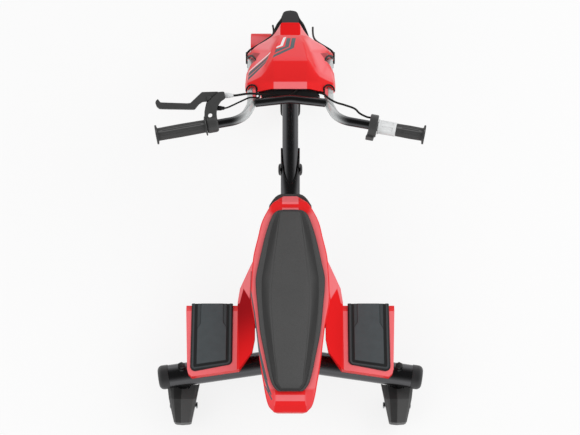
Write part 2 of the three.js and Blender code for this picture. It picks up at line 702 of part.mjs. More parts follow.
function spineTube() {
  const corners = [point(0, 0, rearHeight), mainPoint(mainTube.knee), mainPoint(spine.mouth)];
  const mount = block(
    point(-spineMount.halfWidth, spineMount.back, rearHeight),
    point(spineMount.halfWidth, spineMount.front, base.floor - seatGap),
  );
  const lipTop = mainPoint(spine.lip).z + spine.radius * Math.hypot(1, rise);
  const mouthHeight = mainPoint(spine.mouth).z;
  const scarf = sideView(
    [
      [spine.lip, lipTop],
      [spine.mouth, mouthHeight],
      [spine.mouth + overrun, mouthHeight + overrun],
      [spine.mouth, lipTop + overrun * 4],
      [spine.lip - overrun, lipTop + overrun],
    ],
    -2 * overrun,
    2 * overrun,
  );
  const bore = rod(
    mainPoint(spine.socketEnd),
    mainPoint(spine.mouth + overrun),
    mainTube.radius + seatGap,
  );
  const behind = block(point(-overrun, -overrun, 0), point(overrun, 0, rearHeight * 2));
  return bentTube(corners, [spine.bendRadius], spine.radius)
    .add(mount)
    .subtract(scarf)
    .subtract(bore)
    .subtract(rearRoute(rear.radius + seatGap))
    .subtract(behind)
    .subtract(boltHole());
}

const headHigh = head.along + head.halfLength;
const headLow = head.along - head.halfLength;
function mainFrameTube() {
  const headTube = rod(steerPoint(0, 0, headLow), steerPoint(0, 0, headHigh), head.radius);
  const bore = rod(
    steerPoint(0, 0, headLow - overrun),
    steerPoint(0, 0, headHigh + overrun),
    head.radius - head.wall,
  );
  return rod(mainPoint(mainTube.start), meeting, mainTube.radius)
    .add(headTube)
    .subtract(bore)
    .subtract(boltHole());
}

function boltCap() {
  const start = boltPoint(spine.radius + seatGap);
  const bore = frameBolt.radius + seatGap;
  const floor = frameBolt.tail + seatGap;
  const profile = [
    [bore, 0],
    [frameBolt.cap, 0],
    [frameBolt.cap, frameBolt.capHeight / 3],
    [frameBolt.cap * cos(36), frameBolt.capHeight * sin(53)],
    [frameBolt.cap * cos(66), frameBolt.capHeight],
    [0, frameBolt.capHeight],
    [0, floor],
    [bore, floor],
  ];
  return turned(profile, start, start.clone().add(xAxis));
}
function domedBolt() {
  const end = spine.radius + seatGap + frameBolt.tail;
  const shank = rod(boltPoint(-end - frameBolt.tail), boltPoint(end), frameBolt.radius, pinSides);
  return mirrored(boltCap()).add(shank);
}
add(frame, "spine_tube", spineTube(), blackTube);
add(frame, "main_tube", mainFrameTube(), blackTube);
add(frame, "bolt_cap_right", boltCap(), blackPlastic);
add(frame, "frame_bolt", domedBolt(), blackPlastic);

// In the head's own frame Z runs up the steering axis and Y forward: the cups pressed into the head
// tube, the steerer that turns in them, and the two crown plates that hold the fork legs
function headsetCup(along, outward) {
  const bore = turningBore(steerer.radius, slimSides);
  const skirt = head.radius - head.wall - seatGap;
  const profile = [
    [bore, -head.cupSkirt],
    [skirt, -head.cupSkirt],
    [skirt, 0],
    [head.cup, 0],
    [head.cup, head.cupHeight / 2],
    [head.cup - head.wall / 2, head.cupHeight],
    [bore, head.cupHeight],
  ];
  const start = point(0, 0, along + outward * seatGap);
  return turned(profile, start, start.clone().addScaledVector(zAxis, outward), slimSides);
}
const upperCrownLow = headHigh + head.cupHeight + 2 * runningGap;
const upperCrownHigh = upperCrownLow + crown.thickness;
const lowerCrownHigh = headLow - head.cupHeight - 2 * runningGap;
const lowerCrownLow = lowerCrownHigh - crown.thickness;

function crownPlate(low) {
  const outline = [
    [-crown.tip, -crown.tipDepth],
    [-crown.shoulder, -crown.depth],
    [crown.shoulder, -crown.depth],
    [crown.tip, -crown.tipDepth],
    [crown.tip, crown.tipDepth],
    [crown.shoulder, crown.depth],
    [-crown.shoulder, crown.depth],
    [-crown.tip, crown.tipDepth],
  ];
  const hole = (x, radius, sides) =>
    rod(point(x, 0, low - overrun), point(x, 0, low + crown.thickness + overrun), radius + seatGap, sides);
  return extruded(outline, crown.thickness, point(0, 0, low), xAxis, yAxis)
    .subtract(hole(0, steerer.radius, slimSides))
    .subtract(hole(fork.halfWidth, fork.radius, slimSides))
    .subtract(hole(-fork.halfWidth, fork.radius, slimSides));
}
const lowerCrown = crownPlate(lowerCrownLow);

// The lower crown is welded to the steerer, and a nut holds the upper one
function steeringStem() {
  const foot = lowerCrownLow - steerer.below;
  const nutLow = upperCrownHigh + seatGap;
  const shaft = rod(point(0, 0, foot), point(0, 0, nutLow + steerer.nutHeight), steerer.radius, slimSides);
  const nut = hexagon(point(0, 0, nutLow), point(0, 0, nutLow + steerer.nutHeight), steerer.nut);
  const weld = rod(point(0, 0, foot), point(0, 0, lowerCrownHigh), steerer.nut, slimSides);
  return shaft.add(nut).add(weld).add(lowerCrown);
}
add(steeringHead, "headset_cup_upper", headsetCup(headHigh, 1), steel);
add(steeringHead, "headset_cup_lower", headsetCup(headLow, -1), steel);
add(steeringHead, "steering_stem", steeringStem(), blackTube);
add(steeringHead, "crown_upper", crownPlate(upperCrownLow), blackTube);

// Handlebar line, and the tubes that run from the dropouts up past the crowns and out to the grips
const barY = (x) => bar.gripReach - (Math.abs(x) - bar.gripInner) * tan(bar.sweep);
const barAt = (x) => point(x, barY(x), barHeight);
const barOut = point(cos(bar.sweep), -sin(bar.sweep), 0);
const barFore = point(sin(bar.sweep), cos(bar.sweep), 0);
const barTurned = (turn) => zAxis.clone().multiplyScalar(cos(turn)).addScaledVector(barFore, -sin(turn));
const uprightTop = point(barTop.x, barTop.y, barTop.height);
const legTop = steerPoint(fork.halfWidth, 0, fork.legLength);
const forkCorners = [
  steerPoint(fork.halfWidth, 0, fork.start),
  legTop,
  uprightTop,
  barAt(barKnee.x),
  barAt(bar.gripOuter),
];
const forkBends = [fork.bendRadius, barTop.bendRadius, barKnee.bendRadius];
const forkTube = (radius) => bentTube(forkCorners, forkBends, radius, slimSides);
const cableDown = (along) => steerPoint(brakeCable.side, brakeCable.ahead, along);

function cableLug() {
  const width = fork.halfWidth - brakeCable.side + cableStop.wall;
  const outline = rectangle(
    0,
    brakeCable.stop,
    brakeCable.ahead + cableStop.wall,
    brakeCable.stop + cableStop.height,
  );
  const lug = extruded(
    outline,
    width,
    steerPoint(brakeCable.side - cableStop.wall, 0, 0),
    steerFore,
    steerUp,
  );
  const hole = rod(
    cableDown(brakeCable.stop - overrun),
    cableDown(brakeCable.stop + overrun),
    brakeCable.wire + runningGap,
    pinSides,
  );
  return lug.subtract(hole);
}

function forkLeg() {
  const start = steerPoint(fork.halfWidth - dropout.thickness / 2, 0, 0);
  const eye = extruded(circle(dropout.radius, roundSides), dropout.thickness, start, steerFore, steerUp);
  const tongue = extruded(
    rectangle(-fork.radius, 0, fork.radius, dropout.tongue),
    dropout.thickness,
    start,
    steerFore,
    steerUp,
  );
  const axleHole = rod(
    steerPoint(0, 0, 0),
    steerPoint(2 * fork.halfWidth, 0, 0),
    axle.radius + seatGap,
    slimSides,
  );
  return forkTube(fork.radius).add(eye).add(tongue).subtract(axleHole);
}
add(steering, "fork_leg_right", forkLeg().add(cableLug()), blackTube);
add(steering, "fork_leg_left", mirrored(forkLeg()), blackTube);

function crossTube() {
  const end = point(barTop.x - crossbar.inset, barTop.y + crossbar.ahead, barTop.height + crossbar.above);
  const middle = point(0, end.y + crossbar.bow, end.z + crossbar.arch);
  const corners = [point(-end.x, end.y, end.z), middle, end];
  const clear = forkTube(fork.radius + seatGap);
  return bentTube(corners, [end.x], crossbar.radius, slimSides)
    .subtract(clear)
    .subtract(mirrored(clear));
}
add(steering, "crossbar", crossTube(), blackTube);

// Front wheel, in its own frame with its origin at the middle of the axle
const across = (x) => point(x, 0, 0);
const axleBore = (gap) => rod(across(-3 * overrun), across(3 * overrun), axle.radius + gap, slimSides);

function frontRim() {
  const inner = wheel.rim - wheel.rimWall;
  const lip = wheel.rim - wheel.rimLip;
  const flatHalf = wheel.rimHalf - wheel.rimLip;
  const profile = [
    [inner, -flatHalf],
    [lip, -wheel.rimHalf],
    [wheel.rim, -wheel.rimHalf],
    [wheel.rim, wheel.rimHalf],
    [lip, wheel.rimHalf],
    [inner, flatHalf],
  ];
  let solid = turned(profile, across(0), across(1), wheelSides);
  solid = solid.add(rod(across(-hub.left), across(hub.right), wheel.hub));
  const tipHalf = spoke.halfWidth * spoke.tipShare;
  const outline = [
    [spoke.inner, -spoke.halfWidth],
    [spoke.outer, -tipHalf],
    [spoke.outer, tipHalf],
    [spoke.inner, spoke.halfWidth],
  ];
  for (let i = 0; i < spoke.count; i++) {
    const angle = (360 * i) / spoke.count;
    const outward = point(0, cos(angle), sin(angle));
    const around = point(0, -sin(angle), cos(angle));
    const start = across(-spoke.halfThickness);
    solid = solid.add(extruded(outline, 2 * spoke.halfThickness, start, outward, around));
  }
  return solid.subtract(axleBore(runningGap));
}

// The tyre's section as shares of its depth and half width
const tyreShares = [
  [0, 0.78],
  [0.3, 1],
  [0.65, 0.93],
  [0.88, 0.66],
  [1, 0.25],
];
function frontTyre() {
  const inner = wheel.rim + seatGap;
  const depth = wheel.radius - inner;
  const right = tyreShares.map(([out, half]) => [inner + depth * out, wheel.halfWidth * half]);
  const left = right.map(([radius, half]) => [radius, -half]);
  return turned([...left, ...right.reverse()], across(0), across(1), wheelSides);
}

const legFace = fork.halfWidth + dropout.thickness / 2 + seatGap;
const legInside = fork.halfWidth - dropout.thickness / 2 - seatGap;
function frontAxle() {
  const end = legFace + axle.nutHeight;
  return rod(across(-end), across(end), axle.radius, slimSides)
    .add(rod(across(-legInside), across(-gearSide.outer - runningGap), axle.collar, slimSides))
    .add(hexagon(across(-end), across(-legFace), axle.nut))
    .add(hexagon(across(legFace), across(end), axle.nut));
}

// Drive: involute gears, the motor and the red cover over both
const involute = (angle) => tan(angle) - angle * degrees;
function gearOutline(teeth, phase, flankShares) {
  const pitch = (gears.module * teeth) / 2;
  const baseRadius = pitch * cos(gears.pressure);
  const root = pitch - 1.25 * gears.module;
  const halfAt = (radius) => {
    const angle = Math.acos(Math.min(1, baseRadius / radius)) / degrees;
    const half = Math.PI / (2 * teeth) + involute(gears.pressure) - involute(angle);
    return half / degrees - gears.backlash / (2 * pitch * degrees);
  };
  const radii = flankShares.map((share) => root + share * (pitch + gears.module - root));
  const points = [];
  for (let i = 0; i < teeth; i++) {
    const middle = phase + (360 * i) / teeth;
    radii.forEach((radius) => points.push([radius, middle - halfAt(radius)]));
    radii.toReversed().forEach((radius) => points.push([radius, middle + halfAt(radius)]));
  }
  return points.map(([radius, angle]) => [radius * cos(angle), radius * sin(angle)]);
}
const centreLine = Math.atan2(motor.above, motor.ahead) / degrees;
const gearWidth = gearSide.outer - gearSide.inner;
const motorPoint = (out) => point(-out, motor.ahead, motor.above);

function driveGear() {
  const outline = gearOutline(gears.wheelTeeth, centreLine, [0, 1]);
  const blank = extruded(outline, gearWidth, across(-gearSide.outer), yAxis, zAxis);
  return blank.subtract(axleBore(runningGap));
}
function pinion() {
  const phase = centreLine + 180 + 180 / gears.pinionTeeth;
  const outline = gearOutline(gears.pinionTeeth, phase, [0, 0.5, 1]);
  const shaft = rod(motorPoint(gearSide.inner), motorPoint(motor.shaftEnd), motor.shaft, pinSides);
  return extruded(outline, gearWidth, motorPoint(gearSide.outer), yAxis, zAxis).add(shaft);
}
function motorBody() {
  const bore = rod(motorPoint(0), motorPoint(motor.outer - motor.floor), motor.shaft + runningGap, pinSides);
  return rod(motorPoint(motor.inner), motorPoint(motor.outer), motor.radius).subtract(bore);
}
function driveCover() {
  const skin = (inset, extra) => {
    const disc = rod(across(extra - cover.inner), across(inset - cover.discOuter), cover.disc - inset, 28);
    const lobeStart = motorPoint(cover.inner - extra);
    const lobe = rod(lobeStart, motorPoint(cover.lobeOuter - inset), cover.lobe - inset, 20);
    return disc.add(lobe);
  };
  const hole = rod(across(-cover.lobeOuter), across(0), axle.collar + seatGap, slimSides);
  return skin(0, 0).subtract(skin(cover.wall, overrun)).subtract(hole);
}

// Drum brake on the right
function brakeDrum() {
  const bore = axle.radius + runningGap;
  const inner = drum.radius - drum.wall;
  const floor = drum.inner + drum.wall;
  const profile = [
    [bore, drum.inner],
    [drum.radius, drum.inner],
    [drum.radius, drum.outer],
    [inner, drum.outer],
    [inner, floor],
    [bore, floor],
  ];
  return turned(profile, across(0), across(1), 20);
}
const armPivot = (x) => point(x, -brakeArm.pivotBack, brakeArm.pivotUp);
const armTip = (x) => point(x, brakeArm.tipAhead, brakeArm.tipUp);
function brakePlate() {
  const bore = axle.radius + seatGap;
  const boss = drum.inner + drum.wall + runningGap;
  const profile = [
    [bore, boss],
    [axle.collar, boss],
    [axle.collar, backplate.inner],
    [backplate.radius, backplate.inner],
    [backplate.radius, backplate.outer],
    [axle.collar, backplate.outer],
    [axle.collar, legInside],
    [bore, legInside],
  ];
  const hole = rod(
    armPivot(drum.inner),
    armPivot(fork.halfWidth),
    turningBore(brakeArmBar.shaft, pinSides),
    pinSides,
  );
  return turned(profile, across(0), across(1), 20).subtract(hole);
}
function brakeArmPiece() {
  const along = armTip(0).sub(armPivot(0));
  const span = along.length();
  along.normalize();
  const outline = [
    [0, -brakeArmBar.radius],
    [span, -brakeArmBar.tip],
    [span, brakeArmBar.tip],
    [0, brakeArmBar.radius],
  ];
  const width = brakeArmBar.outer - brakeArmBar.inner;
  return extruded(outline, width, armPivot(brakeArmBar.inner), along, xAxis.clone().cross(along))
    .add(rod(armPivot(brakeArmBar.inner), armPivot(brakeArmBar.outer), brakeArmBar.radius, slimSides))
    .add(rod(armTip(brakeArmBar.inner), armTip(brakeArmBar.outer), brakeArmBar.tip, slimSides))
    .add(rod(armPivot(brakeArmBar.shaftEnd), armPivot(brakeArmBar.outer), brakeArmBar.shaft, pinSides));
}
add(frontWheel, "front_rim", frontRim(), blackPlastic);
add(frontWheel, "front_tyre", frontTyre(), blackRubber);
add(frontWheel, "front_axle", frontAxle(), steel);
add(frontWheel, "drive_gear", driveGear(), blackPlastic);
add(frontWheel, "motor_pinion", pinion(), steel);
add(frontWheel, "motor", motorBody(), steel);
add(frontWheel, "drive_cover", driveCover(), redPlastic);
add(frontWheel, "brake_drum", brakeDrum(), steel);
add(frontWheel, "brake_backplate", brakePlate(), blackPlastic);
add(frontWheel, "brake_arm", brakeArmPiece(), steel);

// Fairing with its notches and arches, the trims below it and the dash under its rear lip
const fairingBack = barTop.y + fairing.ahead;
const fairingHigh = barTop.height + fairing.crest;
const fairingStations = fairingShares.map(([along, half]) => ({
  y: fairingBack + along * fairing.length,
  half: half.map(([x, high, ahead]) => [
    x * fairing.halfWidth,
    fairingHigh - (1 - high) * fairing.depth,
    ahead * fairing.length,
  ]),
}));
const fairingSkin = () => loft(fairingStations.map(({ y, half }) => section(y, half)));
// The inside: each section drawn in by the wall, its foot carried on down, and its nose held back
function fairingCavity() {
  const last = fairingStations.length - 1;
  const rings = fairingStations.map(({ y, half }, i) => {
    const inner = half.map(([x, high, ahead], k) => [
      x > 0 ? x - fairing.wall * fairingSideShares[k] : 0,
      high - fairing.wall * fairingDownShares[k] - (k === half.length - 1 ? 2 * overrun : 0),
      ahead,
    ]);
    const end = i === 0 ? -3 * fairing.wall : i === last ? -fairing.wall : 0;
    return section(y + end, inner);
  });
  return loft(rings);
}
function fairingCuts() {
  const archFoot = legTop.clone().lerp(uprightTop, fairingArch.reachShare);
  const arch = rod(uprightTop, archFoot, fork.radius + fairingArch.gap);
  const notchBack = barTop.y + fairingNotch.ahead;
  const notch = block(
    point(fairingNotch.inner, notchBack, 0),
    point(fairingNotch.inner + 2 * overrun, notchBack + fairingNotch.length, fairingHigh),
  );
  return forkTube(fork.radius + fairingArch.tubeGap).add(arch).add(notch);
}
function fairingShell() {
  const rightSide = block(origin, point(5 * overrun, 2 * wheelbase, wheelbase));
  const half = fairingSkin().intersect(rightSide).subtract(fairingCavity()).subtract(fairingCuts());
  // the slivers left outside the arches fall away
  return largest(half.add(mirrored(half)));
}
const fairingSolid = fairingShell();
add(steering, "fairing", fairingSolid, redPlastic);

function fairingTrim() {
  const rings = fairingStations.slice(0, trim.stations).map(({ y, half }) => {
    const [shoulder, foot] = half.slice(-2).map(([x, high, ahead]) => point(x, y + ahead, high));
    const top = foot.clone().lerp(shoulder, trim.topShare);
    const outer = (p) => point(p.x + seatGap + trim.width, p.y, p.z);
    return [top, outer(top), outer(foot), foot];
  });
  const room = moved(fairingSolid, seatGap, 0, 0).add(fairingSolid);
  return largest(loft(rings).subtract(room).subtract(fairingCuts()));
}
addPair(steering, "fairing_trim", fairingTrim(), blackPlastic);

const dashBack = barTop.y + dash.ahead;
const dashLow = barTop.height - dash.below;
const buttonPoint = (inside) => point(button.x, dashBack + inside, dashLow + button.level);
function dashPanel() {
  const plan = dashPlanShares.map(([x, y]) => [x * dash.halfWidth, dashBack + y * dash.length]);
  const hole = rod(
    buttonPoint(-overrun),
    buttonPoint(button.stemLength + button.travel),
    button.stem + runningGap,
    pinSides,
  );
  const post = block(
    point(dashPost.inner, dashBack + dashPost.ahead, dashLow),
    point(dashPost.outer, dashBack + dash.length, dashLow + dash.thickness + dashPost.height),
  );
  return extruded(plan, dash.thickness, point(0, 0, dashLow), xAxis, yAxis)
    .add(post)
    .add(mirrored(post))
    .subtract(hole);
}
function powerButton() {
  const back = -button.travel - runningGap;
  const end = button.stemLength - button.travel;
  const profile = [
    [0, end],
    [button.stem, end],
    [button.stem, back],
    [button.radius, back],
    [button.radius, back - button.height / 2],
    [button.radius * cos(40), back - button.height * sin(60)],
    [0, back - button.height],
  ];
  return turned(profile, buttonPoint(0), buttonPoint(1), slimSides);
}
add(steering, "dash_panel", dashPanel(), blackPlastic);
add(steering, "power_button", powerButton(), blackPlastic);

// Front mudguard under the nose, on two stays from the lower crown
const overTyre = (height) => 2 * wheel.radius + height;
function mudguard() {
  const rings = (inset, below) =>
    beakShares.map(([along, facetHalf, facetHigh, edgeHalf, edgeHigh]) => {
      const facetTop = overTyre(beak.overTyre) + facetHigh * beak.depth - inset;
      return section(wheelbase - beak.behind + along * beak.length, [
        [0, facetTop + beak.crown],
        [facetHalf * beak.halfWidth - inset / 2, facetTop],
        [edgeHalf * beak.halfWidth - inset, overTyre(beak.overTyre) + edgeHigh * beak.depth - below],
      ]);
    });
  const cavity = rings(beak.wall, 2 * overrun);
  cavity[0] = shiftedAhead(cavity[0], -overrun);
  cavity[cavity.length - 1] = shiftedAhead(cavity.at(-1), -beak.wall);
  return loft(rings(0, 0)).subtract(loft(cavity));
}
function mudguardStay() {
  const low = overTyre(stay.overTyre);
  const high = low + stay.thickness;
  const strip = block(
    point(stay.inner, wheelbase - stay.behind, low),
    point(stay.outer, wheelbase + stay.ahead, high),
  );
  const foot = block(
    point(stayFoot.inner, wheelbase - stayFoot.behind, low),
    point(stay.outer, wheelbase + stayFoot.ahead, high),
  );
  const crownRoom = placed(
    moved(lowerCrown, 0, 0, seatGap).add(lowerCrown).add(moved(lowerCrown, 0, seatGap, -seatGap)),
    steeringHead,
  );
  return strip.add(foot).subtract(crownRoom);
}
const stayRight = mudguardStay();
add(steering, "front_mudguard", mudguard().add(stayRight).add(mirrored(stayRight)), blackPlastic);

// Grips, twist sleeve and throttle housing
const alongBar = (x) => (x - bar.gripInner) / cos(bar.sweep);
function gripSleeve(from, innerRadius) {
  const bore = fork.radius + seatGap;
  const length = alongBar(bar.gripOuter) - alongBar(from) + seatGap;
  const profile = [
    [bore, 0],
    [innerRadius, 0],
    [innerRadius, grip.flangeWidth],
    [grip.radius, 2 * grip.flangeWidth],
    [grip.radius + grip.swell, length / 2],
    [grip.radius, length - grip.flangeWidth * 1.5],
    [grip.flange, length - grip.flangeWidth / 2],
    [grip.flange - grip.dome / 2, length + grip.dome],
    [0, length + grip.dome],
    [0, length],
    [bore, length],
  ];
  return turned(profile, barAt(from), barAt(from).add(barOut));
}
add(steering, "grip_left", mirrored(gripSleeve(bar.gripInner, grip.flange)), blackRubber);
const housingInner = bar.gripInner - housing.start;
const sleeveStart = housingInner + housing.width + 2 * runningGap;
const gripStart = sleeveStart + (sleeve.length + runningGap) * cos(bar.sweep);
add(steering, "grip_right", gripSleeve(gripStart, grip.radius), blackRubber);

function throttleSleeve() {
  const bore = fork.radius + runningGap;
  const profile = [
    [bore, 0],
    [sleeve.rim, 0],
    [sleeve.rim, sleeve.rimWidth],
    [sleeve.radius, sleeve.rimWidth],
    [sleeve.radius, sleeve.length],
    [bore, sleeve.length],
  ];
  let solid = turned(profile, barAt(sleeveStart), barAt(sleeveStart).add(barOut));
  const low = sleeve.rimWidth + (sleeve.length - sleeve.rimWidth - sleeveRecess.length) / 2;
  const outline = rectangle(low, -sleeveRecess.halfWidth, low + sleeveRecess.length, sleeveRecess.halfWidth);
  for (const turn of [-30, 30, 150, 210]) {
    const floor = barAt(sleeveStart).addScaledVector(barTurned(turn), sleeve.radius - sleeveRecess.depth);
    solid = solid.subtract(extruded(outline, overrun, floor, barOut, barTurned(turn + 90)));
  }
  return solid;
}
function throttleHousing() {
  const width = housing.width / cos(bar.sweep);
  const start = barAt(housingInner);
  const heel = rectangle(-housing.footReach, housing.footLow, 0, housing.footHigh);
  const bore = rod(
    barAt(housingInner - overrun),
    barAt(housingInner + housing.width + overrun),
    fork.radius + seatGap,
    slimSides,
  );
  return extruded(circle(housing.radius, 20), width, start, barFore, zAxis)
    .add(extruded(heel, width, start, barFore, zAxis))
    .subtract(bore);
}
add(steering, "throttle_sleeve", throttleSleeve(), greyPlastic);
add(steering, "throttle_housing", throttleHousing(), blackPlastic);

// Brake lever with its bracket, pin and cable adjuster, and the cut-off switch
const controlAt = (acrossGrip, ahead, height) =>
  point(acrossGrip - bar.gripInner, bar.gripReach + ahead, barHeight + height);
const leverLow = bracket.above + runningGap;
const leverPivot = (height) => controlAt(leverPivotPlace.across, leverPivotPlace.ahead, height);

function leverBracket() {
  const clampOuter = barAt(clamp.start - bar.gripInner);
  const clampInner = barAt(clamp.start + clamp.width - bar.gripInner);
  const outward = mirroredOut(overrun);
  const band = rod(clampInner, clampOuter, clamp.radius);
  const plan = bracketPlanShares.map(([x, y]) => [x * bracket.width, y * bracket.reach]);
  const height = bracket.above + bracket.below;
  const plate = extruded(plan, height, controlAt(0, 0, -bracket.below), xAxis, yAxis);
  const fingerHole = rod(
    controlAt(bracket.holeAcross, bracket.holeAhead, -overrun),
    controlAt(bracket.holeAcross, bracket.holeAhead, overrun),
    bracket.holeRadius,
    slimSides,
  );
  const pinHole = rod(leverPivot(-overrun), leverPivot(overrun), pin.radius + seatGap, pinSides);
  const bore = rod(
    clampInner.clone().sub(outward),
    clampOuter.clone().add(outward),
    fork.radius + seatGap,
    slimSides,
  );
  const flangeRoom = rod(
    barAt(1.5 * grip.flangeWidth - bar.gripInner),
    barAt(-bar.gripOuter),
    grip.flange + runningGap,
  );
  return plate.subtract(fingerHole).subtract(flangeRoom).add(band).subtract(bore).subtract(pinHole);
}
const mirroredOut = (distance) => point(-barOut.x, barOut.y, 0).multiplyScalar(distance);

function brakeLever() {
  const plan = leverPlanShares.map(([x, y]) => [
    x * lever.length - lever.start,
    y * lever.depth + lever.ahead,
  ]);
  const hole = rod(leverPivot(-overrun), leverPivot(overrun), pin.radius + runningGap, pinSides);
  return extruded(plan, lever.thickness, controlAt(0, 0, leverLow), xAxis, yAxis).subtract(hole);
}
function leverPin() {
  const top = leverLow + lever.thickness + runningGap;
  const bottom = -bracket.below - seatGap;
  const high = top + pin.headHeight;
  const low = bottom - pin.headHeight;
  return rod(leverPivot(low), leverPivot(high), pin.radius, pinSides)
    .add(rod(leverPivot(top), leverPivot(high), pin.head, slimSides))
    .add(rod(leverPivot(low), leverPivot(bottom), pin.head, slimSides));
}
// A stub that tapers along the bar, with a bore for its cable
function taperedStub(stub, bore) {
  const start = controlAt(stub.across, stub.ahead, -stub.below);
  const inside = stub.length - stub.depth;
  const profile = [
    [0, 0],
    [stub.radius, 0],
    [stub.radius, stub.length / 3],
    [stub.small, stub.length],
    [bore, stub.length],
    [bore, inside],
    [0, inside],
  ];
  return turned(profile, start, start.clone().add(xAxis));
}
add(steering, "brake_bracket", leverBracket(), blackPlastic);
add(steering, "brake_lever", brakeLever(), blackPlastic);
add(steering, "lever_pin", leverPin(), steel);
add(steering, "cable_adjuster", taperedStub(adjuster, brakeCable.radius + runningGap), steel);

// Cables, held by the steered part all the way. The points of their routes are chosen by hand.
function brakeCablePiece() {
  const start = controlAt(adjuster.across, adjuster.ahead, -adjuster.below);
  const inside = adjuster.length - adjuster.depth + brakeCable.wire;
  const points = [
    start.clone().addScaledVector(xAxis, inside),
    start.clone().addScaledVector(xAxis, adjuster.length + adjuster.small),
    point(-122, 544, 598),
    point(-100, 549, 594),
    point(-62, 552.5, 580),
    point(-30, 554, 570.5),
    point(-10, 555, 568.6),
    point(6, 560, 568.5),
    point(14, 568, 568.7),
    point(22, 594, 569),
    point(34, 625, 558),
    point(56, 665, 535),
    point(74, 700, 503),
    steerPoint(83.2, 12, 344),
    steerPoint(83.2, 27, 316),
    cableDown(298),
    cableDown(180),
    cableDown(brakeCable.stop + cableStop.height + seatGap),
  ];
  const wire = rod(
    cableDown(brakeCable.stop + cableStop.exit),
    cableDown(brakeCable.wireEnd),
    brakeCable.wire,
    6,
  );
  return cable(points, brakeCable.radius, brakeCable.steps).add(wire);
}
function cutoffSwitch() {
  const start = controlAt(cutoff.across, cutoff.ahead, -cutoff.below);
  const points = [
    start.clone().addScaledVector(xAxis, cutoff.length - cutoff.depth - cutoffCable.radius),
    point(-156, 508.5, 598.5),
    point(-142, 514, 600),
    point(-122.7, 526, 596),
    point(-98.7, 541, 588),
    point(-80, 547.5, 573),
    point(-77, 552, 566),
    point(-76, 566, 562),
  ];
  // the cable fills the stub's narrower bore, so the two are one piece
  return taperedStub(cutoff, cutoffCable.radius / 2).add(
    cable(points, cutoffCable.radius, cutoffCable.steps),
  );
}
function throttleWire() {
  const start = barAt(housingInner)
    .addScaledVector(barFore, throttleCable.ahead)
    .addScaledVector(barOut, -seatGap);
  const points = [
    start,
    start.clone().addScaledVector(barOut, -throttleCable.run),
    point(168.3, 492.5, 602),
    point(157.3, 503.7, 603),
    point(132.5, 516.9, 597),
    point(112, 527, 590),
    point(94, 541, 584),
    point(84, 554, 578),
    point(74.5, 566, 560),
  ];
  return cable(points, throttleCable.radius, throttleCable.steps);
}
add(steering, "brake_cable", brakeCablePiece(), cableJacket);
add(steering, "cutoff_switch", cutoffSwitch(), cableJacket);
add(steering, "throttle_wire", throttleWire(), cableJacket);

// Seat shell, pad, base and battery
const seatLength = seat.front - seat.back;
const seatRim = seatRimShares.map(([along, half, crest, skirt]) => ({
  y: seat.back + along * seatLength,
  half: half * seat.halfWidth,
  deck: seat.deck + crest * seat.crest,
  skirt: skirt * seat.skirt,
}));
function deckHeight(y) {
  const after = seatRim.findIndex((row) => row.y >= y);
  const [a, b] = [seatRim[after - 1], seatRim[after]];
  return a.deck + ((b.deck - a.deck) * (y - a.y)) / (b.y - a.y);
}
// Everything above or below the deck, shifted up or down from it
function deckRoom(shift, reach) {
  return loft(
    seatRim.map(({ y, half, deck }) =>
      section(y, [
        [0, deck + shift],
        [half + overrun, deck + shift],
        [half + overrun, deck + reach],
      ]),
    ),
  );
}
const spineSlope = () =>
  rod(mainPoint(mainTube.knee), mainPoint(spine.mouth), spine.radius + seatGap);

function seatShell() {
  const rings = (inset, below) =>
    seatRim.map(({ y, half, deck, skirt }) =>
      section(y, [
        [0, deck - inset],
        [half - seatEdge.bevel - inset, deck - inset],
        [half - inset, deck - seatEdge.bevel - inset],
        [half - seatEdge.draw - inset, deck - skirt - below],
      ]),
    );
  const cavity = rings(seatEdge.wall, overrun);
  cavity[0] = shiftedAhead(cavity[0], seatEdge.wall);
  cavity[cavity.length - 1] = shiftedAhead(cavity.at(-1), -seatEdge.wall);
  return loft(rings(0, 0)).subtract(loft(cavity)).subtract(spineSlope());
}

// The pad's section: a crowned top, a channel along its edge, a curved slope, and a rim drawn in
function padSection(y, half, foot, top, rise) {
  const border = deckHeight(y) + pad.border;
  const crest = border + rise;
  const share = rise / pad.rise;
  return section(y, [
    ...padTopShares.map(([out, crown]) => [out * top, crest + crown * padEdge.crown * share]),
    [top, crest - padEdge.channel * share],
    ...padSlopeShares.map(([out, high]) => [top + out * (foot - top), border + high * rise]),
    [foot, border - padEdge.channel * share],
    [foot + padEdge.radius, border],
    [half - padEdge.radius, border],
    [half, border - padEdge.radius],
    [half, border - 2 * padEdge.radius + seatGap],
    [half - padEdge.drawIn, deckHeight(y) - overrun],
  ]);
}
function seatPad() {
  const length = pad.front - pad.back;
  const rings = padShares.map(([along, half, foot, top, rise]) =>
    padSection(
      pad.back + along * length,
      half * pad.halfWidth,
      foot * pad.halfWidth,
      top * pad.halfWidth,
      rise * pad.rise,
    ),
  );
  return loft(rings).subtract(deckRoom(seatGap, -3 * overrun));
}

